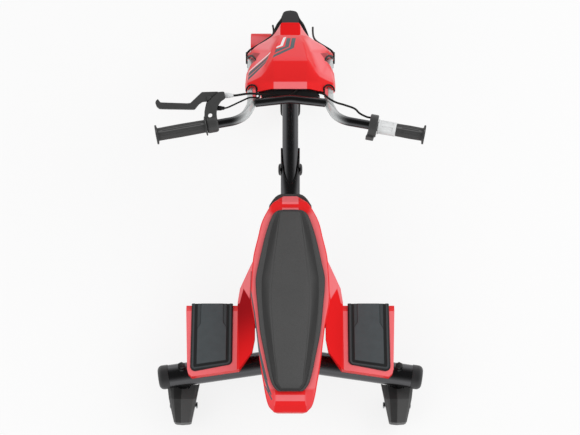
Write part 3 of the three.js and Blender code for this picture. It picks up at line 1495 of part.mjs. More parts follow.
function seatBase() {
  const length = base.front - base.back;
  const rings = (inset, above) =>
    baseShares.map(([along, top, floor, slope]) => {
      const y = base.back + along * length;
      const high = deckHeight(y) - seatEdge.wall - base.topGap + above;
      const low = base.floor + slope * base.slope + inset;
      const topHalf = top * base.halfWidth - inset;
      const floorHalf = floor * base.halfWidth - inset;
      return [
        point(topHalf, y, high),
        point(floorHalf, y, low),
        point(-floorHalf, y, low),
        point(-topHalf, y, high),
      ];
    });
  const cavity = rings(base.wall, overrun);
  cavity[0] = shiftedAhead(cavity[0], base.wall);
  cavity[cavity.length - 1] = shiftedAhead(cavity.at(-1), -base.wall);
  return loft(rings(0, 0))
    .subtract(loft(cavity))
    .subtract(deckRoom(-seatEdge.wall - base.topGap / 2, 3 * overrun))
    .subtract(spineSlope());
}
function batteryPack() {
  const floor = base.floor + base.wall + seatGap;
  return block(
    point(-battery.halfWidth, battery.back, floor),
    point(battery.halfWidth, battery.back + battery.length, floor + battery.height),
  );
}
add(frame, "seat_shell", seatShell(), redPlastic);
add(frame, "seat_pad", seatPad(), padFoam);
add(frame, "seat_base", seatBase(), blackPlastic);
add(frame, "battery_pack", batteryPack(), greyPlastic);

// Foot boards: a flat tread with a rolled nose, a skirt, and a flank that rises to the seat
const boardPlan = boardPlanShares.map(([x, y]) => [
  board.edge + x * (board.outer - board.edge),
  board.back + y * (board.front - board.back),
]);
const noseSlope = boardNose.drop / (boardPlan[0][1] - boardNose.crease);
function boardHalf(inset, outline, drop) {
  const plan = extruded(
    insetOutline(boardPlan, inset),
    flank.height + board.height + overrun,
    origin,
    xAxis,
    yAxis,
  );
  const length = board.front - board.back + 2 * overrun;
  // an extrusion along -Y, because X crossed with Z points backwards
  const profile = extruded(outline, length, point(0, board.front + overrun, 0), xAxis, zAxis);
  // the nose rolls down over the outer, flat part only
  const nose = sideView(
    [
      [boardNose.crease, board.height - drop],
      [boardNose.crease + overrun, board.height - drop - noseSlope * overrun],
      [boardNose.crease + overrun, board.height + overrun],
      [boardNose.crease, board.height + overrun],
    ],
    flank.foot,
    board.outer + overrun,
  );
  return profile.intersect(plan).subtract(nose);
}
function footBoard() {
  const outer = board.outer + overrun;
  const low = board.height - board.skirt;
  const skin = [
    [outer, low],
    [outer, board.height],
    [flank.foot, board.height],
    [flank.top, board.height + flank.height],
    [flank.top - flank.thickness, board.height + flank.height],
    [flank.foot - flank.thickness, low],
  ];
  const inside = rectangle(flank.foot + board.wall, low - overrun, outer, board.height - board.wall);
  return boardHalf(0, skin, 0).subtract(boardHalf(board.wall, inside, board.wall));
}
addPair(frame, "foot_board", footBoard(), redPlastic);

function boardStrut() {
  const corners = [
    point(spine.radius + seatGap, strut.y, rearHeight),
    point(strut.knee, strut.y, rearHeight),
    point(strut.end, strut.y, strut.height),
  ];
  const plate = block(
    point(strut.end - strut.padHalf, strut.y - strut.padHalf, boardUnderside - strut.padThickness),
    point(strut.end + strut.padHalf, strut.y + strut.padHalf, boardUnderside),
  );
  const neck = block(
    point(strut.end - strut.radius, strut.y - strut.radius, strut.height - strut.radius),
    point(strut.end + strut.radius, strut.y + strut.radius, boardUnderside),
  );
  return bentTube(corners, [strut.bend], strut.radius, slimSides).add(neck).add(plate);
}
addPair(frame, "board_strut", boardStrut(), blackTube);

// Mats: a moulded rubber sheet that follows the tread and its nose, with a border and cross grooves
function footMat() {
  const noseAt = (y) => board.height - noseSlope * (y - boardNose.crease);
  const top = [
    [mat.back, board.height - overrun],
    [mat.front, board.height - overrun],
    [mat.front, noseAt(mat.front) + mat.thickness],
    [boardNose.crease, board.height + mat.thickness],
    [mat.back, board.height + mat.thickness],
  ];
  const under = [
    [mat.back - overrun, board.height - 2 * overrun],
    [mat.front + overrun, board.height - 2 * overrun],
    [mat.front + overrun, noseAt(mat.front + overrun) + seatGap],
    [boardNose.crease, board.height + seatGap],
    [mat.back - overrun, board.height + seatGap],
  ];
  const plan = [
    [mat.inner, mat.back + mat.corner],
    [mat.inner + mat.corner, mat.back],
    [mat.outer - mat.corner, mat.back],
    [mat.outer, mat.back + mat.corner],
    [mat.outer, mat.front],
    [mat.inner, mat.front],
  ];
  const shape = extruded(plan, 3 * overrun, point(0, 0, board.height - overrun), xAxis, yAxis);
  let solid = sideView(top, mat.inner - overrun, mat.outer + overrun)
    .intersect(shape)
    .subtract(sideView(under, mat.inner - 2 * overrun, mat.outer + 2 * overrun));
  const first = mat.back + matGroove.border;
  const pitch = (boardNose.crease - matGroove.border - first) / (matGroove.count - 1);
  for (let i = 0; i < matGroove.count; i++) {
    const y = first + i * pitch;
    const floor = board.height + mat.thickness - matGroove.depth;
    const groove = block(
      point(mat.inner + matGroove.border, y - matGroove.width / 2, floor),
      point(mat.outer - matGroove.border, y + matGroove.width / 2, board.height + overrun),
    );
    solid = solid.subtract(groove);
  }
  return solid;
}
addPair(frame, "foot_mat", footMat(), blackRubber);

// The origin goes to the ground under the middle of the whole length
trike.position.y = -(wheelbase + wheel.radius + seat.back) / 2;

export default trike;
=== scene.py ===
import math

import bmesh
import bpy
import numpy as np
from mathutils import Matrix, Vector


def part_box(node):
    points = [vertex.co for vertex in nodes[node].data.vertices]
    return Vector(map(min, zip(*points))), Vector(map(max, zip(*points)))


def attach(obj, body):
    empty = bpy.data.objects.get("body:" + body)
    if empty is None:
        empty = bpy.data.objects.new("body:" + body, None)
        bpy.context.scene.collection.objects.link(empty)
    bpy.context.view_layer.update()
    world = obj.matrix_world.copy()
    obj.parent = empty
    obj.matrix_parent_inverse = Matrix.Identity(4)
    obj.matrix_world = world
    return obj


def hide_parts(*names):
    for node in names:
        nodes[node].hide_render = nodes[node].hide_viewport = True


# A child's drift trike, dressed over its CAD parts. Pieces are in the trike's own millimetres:
# X to the rider's right, Y forward from the middle of the rear cross tube, Z up.

# The camera stands where the photograph was taken from, behind the trike and high above it
view = {"place": (0.0, -1.283, 3.639), "elevation": 70.0, "lens": 85.0, "sensor": 36.0}
photo = {"width": 580, "middle": 290.3}


def addObject(name, data):
    made = bpy.data.objects.new(name, data)
    bpy.context.scene.collection.objects.link(made)
    return made


def addCamera():
    lens = bpy.data.cameras.new("camera")
    lens.lens = view["lens"]
    lens.sensor_width = view["sensor"]
    lens.shift_x = (photo["width"] / 2 - photo["middle"]) / photo["width"]
    made = addObject("camera", lens)
    made.location = view["place"]
    made.rotation_euler = (math.radians(90 - view["elevation"]), 0, 0)
    bpy.context.scene.camera = made


addCamera()
bpy.context.scene.view_settings.view_transform = "Standard"
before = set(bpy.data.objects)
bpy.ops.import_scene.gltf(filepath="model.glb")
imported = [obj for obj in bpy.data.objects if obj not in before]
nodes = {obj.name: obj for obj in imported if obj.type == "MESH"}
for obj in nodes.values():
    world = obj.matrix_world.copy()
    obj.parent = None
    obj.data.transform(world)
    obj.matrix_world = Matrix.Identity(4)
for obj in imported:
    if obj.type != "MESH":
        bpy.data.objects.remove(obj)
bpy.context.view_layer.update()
print("stage: frame loaded,", len(nodes), "nodes")

# Driving sizes, as in the CAD source
trike = {"wheelbase": 839.0, "wheelRadius": 140.0, "rake": 20.9}
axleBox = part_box("front_rim")
# The frame's metres are the trike's millimetres over 1000, moved along Y
offset = np.array([0.0, (axleBox[0].y + axleBox[1].y) / 2 - trike["wheelbase"] / 1000, 0.0])
sides = ((-1, "left", "Left"), (1, "right", "Right"))
flipX = np.array([-1.0, 1.0, 1.0])
plan = ((1, 0, 0), (0, 1, 0))
onFrame = {"body": "frame", "slot": "black_tube"}


def toFrame(points):
    return np.asarray(points, float) / 1000 + offset


# Small vector tools. Each works on whole arrays of points.
def unit(vectors):
    return vectors / np.linalg.norm(vectors, axis=-1, keepdims=True)


def bentRoute(corners, radii, steps=12):
    # Straight runs joined by arcs, each centred on its corner's bisector, radius / sin(half) away
    corners = np.asarray(corners, float)
    parts = [corners[:1]]
    t = np.linspace(0, 1, steps)[:, None]
    for corner, before, after, radius in zip(corners[1:-1], corners[:-2], corners[2:], radii):
        back, ahead = unit(before - corner), unit(after - corner)
        half = math.acos(float(np.clip(back @ ahead, -1, 1))) / 2
        if half > 1.56:
            parts.append(corner[None])
            continue
        centre = corner + unit(back + ahead) * radius / math.sin(half)
        start, end = (corner + way * radius / math.tan(half) - centre for way in (back, ahead))
        sweep = math.pi - 2 * half
        arc = np.sin((1 - t) * sweep) * start + np.sin(t * sweep) * end
        parts.append(centre + arc / math.sin(sweep))
    return np.vstack(parts + [corners[-1:]])


def splineRoute(points, steps):
    # Catmull-Rom through the points, with chord lengths to the power of one half as its knots
    points = np.asarray(points, float)
    p = np.vstack([2 * points[0] - points[1], points, 2 * points[-1] - points[-2]])
    knots = np.concatenate([[0], np.cumsum(np.linalg.norm(np.diff(p, axis=0), axis=1) ** 0.5)])
    t = np.linspace(knots[1], knots[-2], steps)
    i = np.clip(np.searchsorted(knots, t, side="right") - 1, 1, len(p) - 3)

    def mix(a, b, ka, kb):
        return ((kb - t) / (kb - ka))[:, None] * a + ((t - ka) / (kb - ka))[:, None] * b

    k = [knots[i + n] for n in (-1, 0, 1, 2)]
    a1, a2, a3 = (mix(p[i + n - 1], p[i + n], k[n], k[n + 1]) for n in (0, 1, 2))
    return mix(mix(a1, a2, k[0], k[2]), mix(a2, a3, k[1], k[3]), k[1], k[2])


def smoothRows(table, count, linear=()):
    # A table's rows spread over count stations: a monotone cubic, or straight lines for linear columns
    table = np.asarray(table, float)
    x, values = table[:, 0], table[:, 1:]
    step = np.diff(x)[:, None]
    slope = np.diff(values, axis=0) / step
    same = slope[:-1] * slope[1:] > 0
    inner = np.where(same, 2 * slope[:-1] * slope[1:] / np.where(same, slope[:-1] + slope[1:], 1), 0)
    tangent = np.vstack([slope[:1], inner, slope[-1:]])
    where = np.interp(np.linspace(0, 1, count), np.linspace(0, 1, len(x)), x)
    i = np.clip(np.searchsorted(x, where, side="right") - 1, 0, len(x) - 2)
    t = ((where - x[i]) / (x[i + 1] - x[i]))[:, None]
    made = (2 * t**3 - 3 * t**2 + 1) * values[i] + (3 * t**2 - 2 * t**3) * values[i + 1]
    made += ((t**3 - 2 * t**2 + t) * tangent[i] + (t**3 - t**2) * tangent[i + 1]) * step[i]
    for column in linear:
        made[:, column - 1] = np.interp(where, x, values[:, column - 1])
    return np.column_stack([where, made])


def rise(value, low, high):
    # A smooth step from 0 to 1
    t = np.clip((value - low) / (high - low), 0, 1)
    return t * t * (3 - 2 * t)


def circles(centres, radius, side, up, count):
    # Round each centre: centre + radius (cos a side + sin a up)
    angle = np.linspace(0, 2 * math.pi, count, endpoint=False)[None, :, None]
    return centres[:, None] + radius * (np.cos(angle) * side + np.sin(angle) * up)


def ringsAlong(path, radius, count, lean=(1.0, 0.6, 1.0)):
    # Circles square to the path, each with its side along tangent x lean
    path = np.asarray(path, float)
    runs = unit(np.diff(path, axis=0))
    tangent = unit(np.vstack([runs[:1], runs[:-1] + runs[1:], runs[-1:]]))
    side = unit(np.cross(tangent, lean))
    return circles(path, radius, side[:, None], np.cross(side, tangent)[:, None], count)


def turnedRings(profile, start, axis, count, lean=(0.31, 0.17, 0.93)):
    # A profile of (radius, distance along the axis) turned round the axis
    axis = unit(np.asarray(axis, float))
    side = unit(np.cross(axis, lean))
    centres = np.asarray(start, float) + profile[:, 1, None] * axis
    return circles(centres, profile[:, 0, None, None], side, np.cross(side, axis), count)


def softProfile(corners, radii, steps=5):
    # A turned profile whose inner corners are rounded
    flat = np.column_stack([np.asarray(corners, float), np.zeros(len(corners))])
    return bentRoute(flat, radii, steps)[:, :2]


def denseProfile(profile, count):
    # The same profile with its points spread evenly along it
    place = np.concatenate([[0], np.cumsum(np.linalg.norm(np.diff(profile, axis=0), axis=1))])
    spots = np.unique(np.concatenate([place, np.linspace(0, place[-1], count)]))
    return np.column_stack([np.interp(spots, place, profile[:, i]) for i in (0, 1)])


def roundedOutline(points, radii):
    # A closed outline with an arc at each corner
    corners = np.column_stack([np.asarray(points, float), np.zeros(len(points))])
    first = (corners[-1] + corners[0]) / 2
    return bentRoute(np.vstack([first, corners, first]), np.broadcast_to(radii, len(points)), 6)[:-1, :2]


def rectangle(width, height, low=0):
    return [[0, low], [width, low], [width, low + height], [0, low + height]]


def halfGrid(x, y, z):
    # Points of the right half, from coordinates whose shapes may differ
    return np.stack(np.broadcast_arrays(x, y, z), axis=-1)


def wholeGrid(right):
    # The right half of each section joined to its mirror image
    return np.concatenate([right[:, :0:-1] * flipX, right], axis=1)


# Meshes
def gridFaces(rows, columns, closed):
    # Quads between rows of points, joined round to the first column if closed
    r = np.arange(rows - 1)[:, None] * columns
    c = np.arange(columns if closed else columns - 1)[None, :]
    d = (c + 1) % columns
    return np.stack([r + c, r + d, r + columns + d, r + columns + c], axis=-1).reshape(-1, 4).tolist()


def newPiece(name, points, faces, finish, sharp=34):
    # Points in trike millimetres become one mesh with its doubles merged and its faces outwards
    mesh = bpy.data.meshes.new(name)
    mesh.from_pydata(toFrame(points).tolist(), [], faces)
    work = bmesh.new()
    work.from_mesh(mesh)
    bmesh.ops.remove_doubles(work, verts=work.verts, dist=1e-6)
    bmesh.ops.dissolve_degenerate(work, edges=work.edges, dist=1e-7)
    bmesh.ops.recalc_face_normals(work, faces=work.faces)
    work.to_mesh(mesh)
    work.free()
    mesh.shade_smooth()
    mesh.set_sharp_from_angle(angle=math.radians(sharp))
    mesh.materials.append(finish)
    return addObject(name, mesh)


def gridPiece(name, grid, finish, closed=True, caps=True, sharp=34):
    # A skin over rows of points, with a flat cap on its first and last rows
    rows, columns = grid.shape[:2]
    faces = gridFaces(rows, columns, closed)
    if caps:
        faces += [list(range(columns))[::-1], list(range((rows - 1) * columns, rows * columns))]
    return newPiece(name, grid.reshape(-1, 3), faces, finish, sharp)


def tubePiece(name, path, radius, count, finish, lean=(1.0, 0.6, 1.0)):
    return gridPiece(name, ringsAlong(path, radius, count, lean), finish)


def turnedPiece(name, corners, radii, start, axis, count, finish, steps=5, caps=False):
    rings = turnedRings(softProfile(corners, radii, steps), start, axis, count)
    return gridPiece(name, rings, finish, caps=caps)


def prismPiece(name, outline, start, plane, depth, finish):
    # A flat outline in the plane of two directions, pushed along their cross product
    outline = np.asarray(outline, float)
    across, up = np.asarray(plane, float)
    flat = np.asarray(start, float) + outline[:, :1] * across + outline[:, 1:2] * up
    return gridPiece(name, np.stack([flat, flat + depth * np.cross(across, up)]), finish)


def finalMesh(piece):
    # Bakes a piece's modifiers into its mesh
    graph = bpy.context.evaluated_depsgraph_get()
    mesh = bpy.data.meshes.new_from_object(piece.evaluated_get(graph))
    piece.modifiers.clear()
    piece.data = mesh


def subdivide(piece, levels):
    smooth = piece.modifiers.new("smooth", "SUBSURF")
    smooth.levels = smooth.render_levels = levels


def cutAway(piece, cutters):
    for cutter in cutters:
        cut = piece.modifiers.new("cut", "BOOLEAN")
        cut.operation = "DIFFERENCE"
        cut.solver = "EXACT"
        cut.object = cutter
    finalMesh(piece)
    for cutter in cutters:
        bpy.data.objects.remove(cutter)
    piece.data.set_sharp_from_angle(angle=math.radians(34))


def openShell(piece, thickness, levels=0):
    # A sheet whose faces all look up and out, given a wall on its inner side
    if sum(p.normal.z * p.area for p in piece.data.polygons) < 0:
        piece.data.flip_normals()
    if levels:
        subdivide(piece, levels)
    wall = piece.modifiers.new("wall", "SOLIDIFY")
    wall.thickness = thickness / 1000
    wall.offset = -1
    finalMesh(piece)


def softEdges(piece, width, segments=2, angle=30):
    # A small rounding on every edge that turns by more than the angle
    edge = piece.modifiers.new("edge", "BEVEL")
    edge.width = width / 1000
    edge.segments = segments
    edge.limit_method = "ANGLE"
    edge.angle_limit = math.radians(angle)
    edge.harden_normals = True
    return piece


def dressNode(name, finish, width):
    # A CAD node keeps its mesh: modifiers join its loose triangles into flat faces and round its edges
    node = nodes[name]
    node.data.materials.clear()
    node.data.materials.append(finish)
    node.data.shade_smooth()
    weld = node.modifiers.new("weld", "WELD")
    weld.merge_threshold = 1e-5
    flat = node.modifiers.new("flat", "DECIMATE")
    flat.decimate_type = "DISSOLVE"
    flat.angle_limit = math.radians(0.7)
    softEdges(node, width)


def settle(piece, body="steering", stands=(), slot="black_plastic"):
    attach(piece, body)
    if stands:
        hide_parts(*stands)
    return piece


def plate(name, outline, start, plane, depth, finish, edge, segments=2, **place):
    settle(softEdges(prismPiece(name, outline, start, plane, depth, finish), edge, segments), **place)


# Shader maths: a wire stands for a socket, and an expression on wires adds the Math nodes it needs
def operators(operation):
    # The operator with the wire on its left, and the reflected one
    def forward(self, other):
        return self.maths(operation, self, other)

    def reflected(self, other):
        return self.maths(operation, other, self)

    return forward, reflected


class Wire:
    __add__, __radd__ = operators("ADD")
    __sub__, __rsub__ = operators("SUBTRACT")
    __mul__, __rmul__ = operators("MULTIPLY")
    most = operators("MAXIMUM")[0]
    least = operators("MINIMUM")[0]

    def __init__(self, shader, socket):
        self.shader = shader
        self.socket = socket

    def maths(self, operation, *inputs):
        return self.shader.node("ShaderNodeMath", {"operation": operation}, dict(enumerate(inputs)))

    def size(self):
        return self.maths("ABSOLUTE", self)

    def part(self, axis):
        parts = self.shader.node("ShaderNodeSeparateXYZ", inputs={"Vector": self})
        return Wire(self.shader, parts.socket.node.outputs[axis])

    def ramp(self, low, high, start=0.0, end=1.0):
        # The start below low, the end above high, and a smooth step between
        values = {"Value": self, "From Min": low, "From Max": high, "To Min": start, "To Max": end}
        return self.shader.node("ShaderNodeMapRange", {"interpolation_type": "SMOOTHSTEP"}, values)


class Shader:
    # A material's node tree, or the world's
    def __init__(self, name, constants=(), owner=None):
        self.material = owner or bpy.data.materials.new(name)
        self.material.use_nodes = True
        self.tree = self.material.node_tree
        self.surface = self.tree.nodes["Background" if owner else "Principled BSDF"]
        for socket, value in dict(constants).items():
            self.surface.inputs[socket].default_value = value
        self.place = self.node("ShaderNodeTexCoord", output="Generated" if owner else "Object")

    def node(self, kind, settings=None, inputs=None, output=0):
        made = self.tree.nodes.new(kind)
        for key, value in (settings or {}).items():
            setattr(made, key, value)
        for key, value in (inputs or {}).items():
            self.plug(made.inputs[key], value)
        return Wire(self, made.outputs[output])

    def plug(self, socket, value):
        # A colour may be named by its six screen digits
        if isinstance(value, Wire):
            self.tree.links.new(value.socket, socket)
        else:
            socket.default_value = colour(value) if isinstance(value, str) else value

    def noise(self, scale, detail=2.0):
        values = {"Vector": self.place, "Scale": scale, "Detail": detail}
        return self.node("ShaderNodeTexNoise", inputs=values)

    def blend(self, share, first, second):
        # A mix of two colours by a share
        made = self.tree.nodes.new("ShaderNodeMix")
        made.data_type = "RGBA"
        inputs, outputs = ([s for s in ends if s.type == "RGBA"] for ends in (made.inputs, made.outputs))
        for socket, value in ((made.inputs["Factor"], share), (inputs[0], first), (inputs[1], second)):
            self.plug(socket, value)
        return Wire(self, outputs[0])

    def set(self, socket, value):
        self.plug(self.surface.inputs[socket], value)

    def bump(self, height, distance, strength):
        values = {"Height": height, "Distance": distance, "Strength": strength}
        self.set("Normal", self.node("ShaderNodeBump", inputs=values, output="Normal"))

    def skin(self, base, rough, grain):
        # A base colour, a roughness of rough[0] plus up to rough[1] over a cloud, and a fine grain
        self.set("Base Color", base)
        self.set("Roughness", rough[0] + rough[1] * self.noise(rough[2]))
        scale, detail, depth, strength = grain
        self.bump(self.noise(scale, detail), depth, strength)
        return self.material

    def upward(self):
        # How far the surface faces up, from -1 to 1
        return self.node("ShaderNodeNewGeometry", output="Normal").part("Z")

    def insidePolygon(self, corners, edge=0.35, mirrored=False):
        # 1 inside a convex plan outline: the least of its edges' smooth steps
        x, y = (self.place.part(axis) for axis in "XY")
        x = x.size() if mirrored else x
        points = toFrame(np.column_stack([np.asarray(corners, float), np.zeros(len(corners))]))[:, :2]
        made = None
        for a, b in zip(points, np.roll(points, -1, axis=0)):
            normal = unit(np.array([a[1] - b[1], b[0] - a[0]]))
            if normal @ (points.mean(axis=0) - a) < 0:
                normal = -normal
            reach = x * float(normal[0]) + (y * float(normal[1]) - float(normal @ a))
            step = reach.ramp(-edge / 1000, edge / 1000)
            made = made.least(step) if made else step
        return made

    def insideAny(self, outlines, edge, mirrored):
        made = None
        for outline in outlines:
            inside = self.insidePolygon(outline, edge, mirrored)
            made = made.most(inside) if made else inside
        return made


def colour(digits):
    # A screen colour as linear light
    values = [int(digits[i : i + 2], 16) / 255 for i in (0, 2, 4)]
    return tuple(v / 12.92 if v < 0.04045 else ((v + 0.055) / 1.055) ** 2.4 for v in values) + (1.0,)


def lighter(digits, times):
    return tuple(times * v for v in colour(digits)[:3]) + (1.0,)


# Finishes. Each roughness is a least value, the span of its cloud and the cloud's scale; each grain is a
# scale, a detail, a depth in metres and a strength.
# The deep red is the plastic's own colour; the paler reds are painted sheen and highlight, the darker
# reds painted shade, and the grey and white are printed stripes, the white also a painted highlight line.
redFinish = {
    "deep": "ee2426", "pale": "f6767b", "mid": "f04a4e", "light": "f9868b", "dark": "a3191f",
    "shade": "b04449", "stripeGrey": "586468", "stripeWhite": "f2f2f2", "rough": (0.34, 0.08, 42.0),
    "coatRoughness": 0.38, "grain": (1500.0, 2.0, 0.00004, 0.35),
}


def redPlastic(name, areas=(), sheenFrom=0.8, matt=None):
    # Moulded red plastic with a painted sheen: paler where it faces up, as if lit from overhead. Each
    # area is a tone, its edge's softness, whether it is mirrored, its convex plan outlines, and maybe the
    # two Y between which it fades in; the areas' paler and darker reds are painted light and shade. A
    # clear coat gives the shine of a piece with matt outlines, and leaves them out.
    shader = Shader(name, {"Specular IOR Level": 0.0 if matt else 0.16})
    # Painted sheen: the red turns paler on faces that look up
    share = shader.upward().ramp(sheenFrom, 0.99) * (0.84 + 0.16 * shader.noise(9.0))
    paint = shader.blend(share, redFinish["deep"], redFinish["pale"])
    for tone, softness, mirrored, outlines, *fade in areas:
        mask = shader.insideAny(outlines, softness, mirrored)
        if fade:
            low, high = (float(toFrame([0, y, 0])[1]) for y in fade)
            mask = mask * shader.place.part("Y").ramp(low, high)
        paint = shader.blend(mask, paint, redFinish[tone])
    if matt:
        shader.set("Coat IOR", 1.3)
        shader.set("Coat Roughness", redFinish["coatRoughness"])
        shader.set("Coat Weight", 0.8 - 0.8 * shader.insideAny(matt, 1.0, True))
    return shader.skin(paint, redFinish["rough"], redFinish["grain"])


plasticGrain = (1300.0, 3.0, 0.00006, 0.5)


def blackPlastic(name, tone="3d3d3d", roughness=0.46):
    # Textured black plastic: a fine grain and a faint cloud in its shine
    shader = Shader(name, {"Specular IOR Level": 0.45})
    base = shader.blend(shader.noise(60.0), tone, lighter(tone, 1.25))
    return shader.skin(base, (roughness - 0.06, 0.12, 25.0), plasticGrain)


def rubber(name, tone, roughness, grain=900.0, paintedHighlight="303030"):
    # Rubber, cloudy, with a painted highlight: another tone where it faces straight up
    shader = Shader(name, {"Specular IOR Level": 0.35})
    cloudy = shader.blend(shader.noise(35.0, 4.0), tone, lighter(tone, 1.4))
    base = shader.blend(shader.upward().ramp(0.975, 1.0), cloudy, paintedHighlight)
    return shader.skin(base, (roughness, 0.1, 50.0), (grain, 4.0, 0.00012, 0.5))


tubeFinish = {"dark": "5e5e60", "cloud": "525254", "highlightGrey": "c6c9c9", "rough": (0.23, 0.05, 70.0)}
# The painted highlight's span in metres: across from the middle, and up
highlightArea = {"inner": 0.1, "outer": 0.146, "low": 0.25, "high": 0.42}


def blackChrome(name, area=None):
    # Dark chrome over steel tube, with a painted highlight: paler and less metallic in an area in metres,
    # on the upper fork legs and the inner ends of the bar
    shader = Shader(name, {"Metallic": 1.0})
    tone = shader.blend(shader.noise(14.0), tubeFinish["dark"], tubeFinish["cloud"])
    if area:
        side = 1 - shader.place.part("X").size().ramp(area["inner"], area["outer"])
        paintedHighlight = side * shader.place.part("Z").ramp(area["low"], area["high"])
        tone = shader.blend(paintedHighlight, tone, tubeFinish["highlightGrey"])
        shader.set("Metallic", 1 - 0.75 * paintedHighlight)
    return shader.skin(tone, tubeFinish["rough"], (500.0, 2.0, 0.00002, 0.2))


def metal(name, tone, roughness):
    # Zinc-plated steel with fine streaks in its shine
    shader = Shader(name, {"Metallic": 1.0})
    base = shader.blend(shader.noise(90.0), tone, "8f9193")
    return shader.skin(base, (roughness - 0.05, 0.12, 220.0), (700.0, 2.0, 0.00003, 0.3))


def greyPlastic(name, tone):
    shader = Shader(name, {"Specular IOR Level": 0.5})
    base = shader.blend(shader.noise(30.0), tone, "c6c8c9")
    return shader.skin(base, (0.36, 0.08, 60.0), (1200.0, 2.0, 0.00004, 0.3))


padFinish = {"tone": "565656", "shade": "323232", "hollowShade": "222222", "grain": 750.0, "depth": 0.00022}


def padVinyl(name):
    # Grained vinyl: pebbled cells with painted shade in the hollows, and painted shade on the slopes that
    # turn away from up
    shader = Shader(name, {"Sheen Weight": 0.12, "Sheen Roughness": 0.5, "Specular IOR Level": 0.4})
    cells = {"Vector": shader.place, "Scale": padFinish["grain"]}
    pebble = shader.node("ShaderNodeTexVoronoi", inputs=cells, output="Distance").ramp(0.15, 0.75)
    cloud = shader.noise(11.0, 3.0)
    # Painted shade: faces that turn away from up take the darker tone
    up = shader.upward().ramp(0.88, 0.985)
    tone = shader.blend(up * (0.7 + 0.3 * cloud), padFinish["shade"], padFinish["tone"])
    shader.set("Base Color", shader.blend(0.25 * pebble, tone, padFinish["hollowShade"]))
    shader.set("Roughness", 0.6 + 0.12 * cloud)
    shader.bump(1 - pebble, padFinish["depth"], 0.35)
    return shader.material


boardFlank = [[122.4, 167], [94, 120], [88, 60], [92, -20], [110, -50], [131.5, -50], [138, 132]]
# Painted light and shade on the foot boards: a darker red on the left flank is painted shade that fades
# in towards the front, a paler red on the tips' upper facets is painted sheen, and a dark strip beside
# the seat on the left is painted shade. The flanks otherwise keep the plastic's own red.
boardAreas = [
    ("deep", 1.2, True, [boardFlank]),
    ("dark", 1.2, False, [[[-x, y] for x, y in boardFlank]], -25, 118),
    ("pale", 1.0, True, [
        [[88, 250], [104.6, 131], [122.4, 168], [126, 200], [100, 250]],
        [[122.4, 168], [132.4, 132], [142, 132], [138, 165], [126, 205]],
    ]),
    ("dark", 1.6, False, [[[-98, 205], [-102.5, 205], [-105.5, 131], [-98, 131]]]),
]
red = redPlastic("redPlastic")
boardRed = redPlastic("boardRed", boardAreas, matt=[boardFlank])
satin = blackPlastic("satinBlackPlastic")
gloss = blackPlastic("smoothBlackPlastic", "1c1c1d", 0.3)
capBlack = blackPlastic("capBlackPlastic", "2b2b2c", 0.4)
dashBlack = blackPlastic("dashBlackPlastic", "19191a", 0.5)
# The grips' paler tone on top is a painted highlight
gripRubber = rubber("gripRubber", "3a3a3a", 0.5, paintedHighlight="626262")
tyreRubber = rubber("tyreRubber", "202020", 0.8)
rollerRubber = rubber("rollerRubber", "2a2a2a", 0.5)
jacket = rubber("cableJacket", "101010", 0.42, 400.0)
chrome = blackChrome("blackChrome")
barChrome = blackChrome("barChrome", highlightArea)
steel = metal("zincSteel", "a9abad", 0.3)
alloy = metal("castAlloy", "b9bbbd", 0.4)
sleeveGrey = greyPlastic("sleeveGrey", "f4f5f5")
batteryGrey = greyPlastic("batteryGrey", "8c9094")
vinyl = padVinyl("padVinyl")
print("stage: materials made")


# Steering geometry: a point ahead of the steering axis and along it from the front axle
def steerPoint(x, fore, along):
    rake = math.radians(trike["rake"])
    y = trike["wheelbase"] + fore * math.cos(rake) - along * math.sin(rake)
    return np.array([x, y, trike["wheelRadius"] + fore * math.sin(rake) + along * math.cos(rake)])


steerUp = steerPoint(0, 0, 1) - steerPoint(0, 0, 0)
steerFore = steerPoint(0, 1, 0) - steerPoint(0, 0, 0)
steerPlane = (steerFore, steerUp)

# Rear frame
rear = {
    "radius": 30.2, "halfSpan": 317.0, "sweep": 8.4, "bend": 190.0, "count": 56, "tab": (54, 30),
    "tabTop": 185.4, "tabPlace": 200.0,
    "socket": [[6.4, -46.4], [21, -46.4], [21, -43], [17, -43], [17, 22], [10.5, 25], [10.5, 33],
        [6.4, 33]],
    "socketRadii": [1.2, 0.6, 0.8, 1.4, 1, 0.6],
}
casters = {"inset": 34.0, "lean": 22.0, "drop": 100.0, "trail": 28.0, "radius": 45.0}
lean = math.radians(casters["lean"])
rearHeight = casters["radius"] + casters["drop"] * math.cos(lean) - casters["trail"] * math.sin(lean)
rearFall = math.tan(math.radians(rear["sweep"]))


def casterPoint(side, x, ahead, up):
    # The caster's own frame leans back about X: its Z runs up the swivel pin
    across = side * (rear["halfSpan"] - casters["inset"])
    y = -abs(across) * rearFall + ahead * math.cos(lean) + up * math.sin(lean)
    z = rearHeight + up * math.cos(lean) - ahead * math.sin(lean)
    return halfGrid(across + x, y, z)


def rearEnd(side):
    return np.array([side * rear["halfSpan"], -rear["halfSpan"] * rearFall, rearHeight])


def buildRearTube():
    # A tube along two straights and an arc, with a leaning socket and a flat tab each side
    path = bentRoute([rearEnd(-1), [0, 0, rearHeight], rearEnd(1)], [rear["bend"]], 40)
    tube = tubePiece("rearTube", path, rear["radius"], rear["count"], chrome, (0.0, 0.3, 1.0))
    settle(tube, "frame", ["rear_tube"], "black_tube")
    for side, name, end in sides:
        foot = casterPoint(side, 0, 0, 0)
        axis = casterPoint(side, 0, 0, 1) - foot
        shape = (rear["socket"], rear["socketRadii"], foot, axis, 40, chrome)
        settle(turnedPiece("casterSocket" + end, *shape, caps=True), **onFrame)
        (width, depth), out = rear["tab"], rear["tabPlace"]
        low = [side * out - width / 2, -out * rearFall - depth / 2, rearHeight]
        tab = (rectangle(width, depth), low, plan, rear["tabTop"] - rearHeight, chrome, 1.2)
        plate("boardTab" + end, *tab, **onFrame)


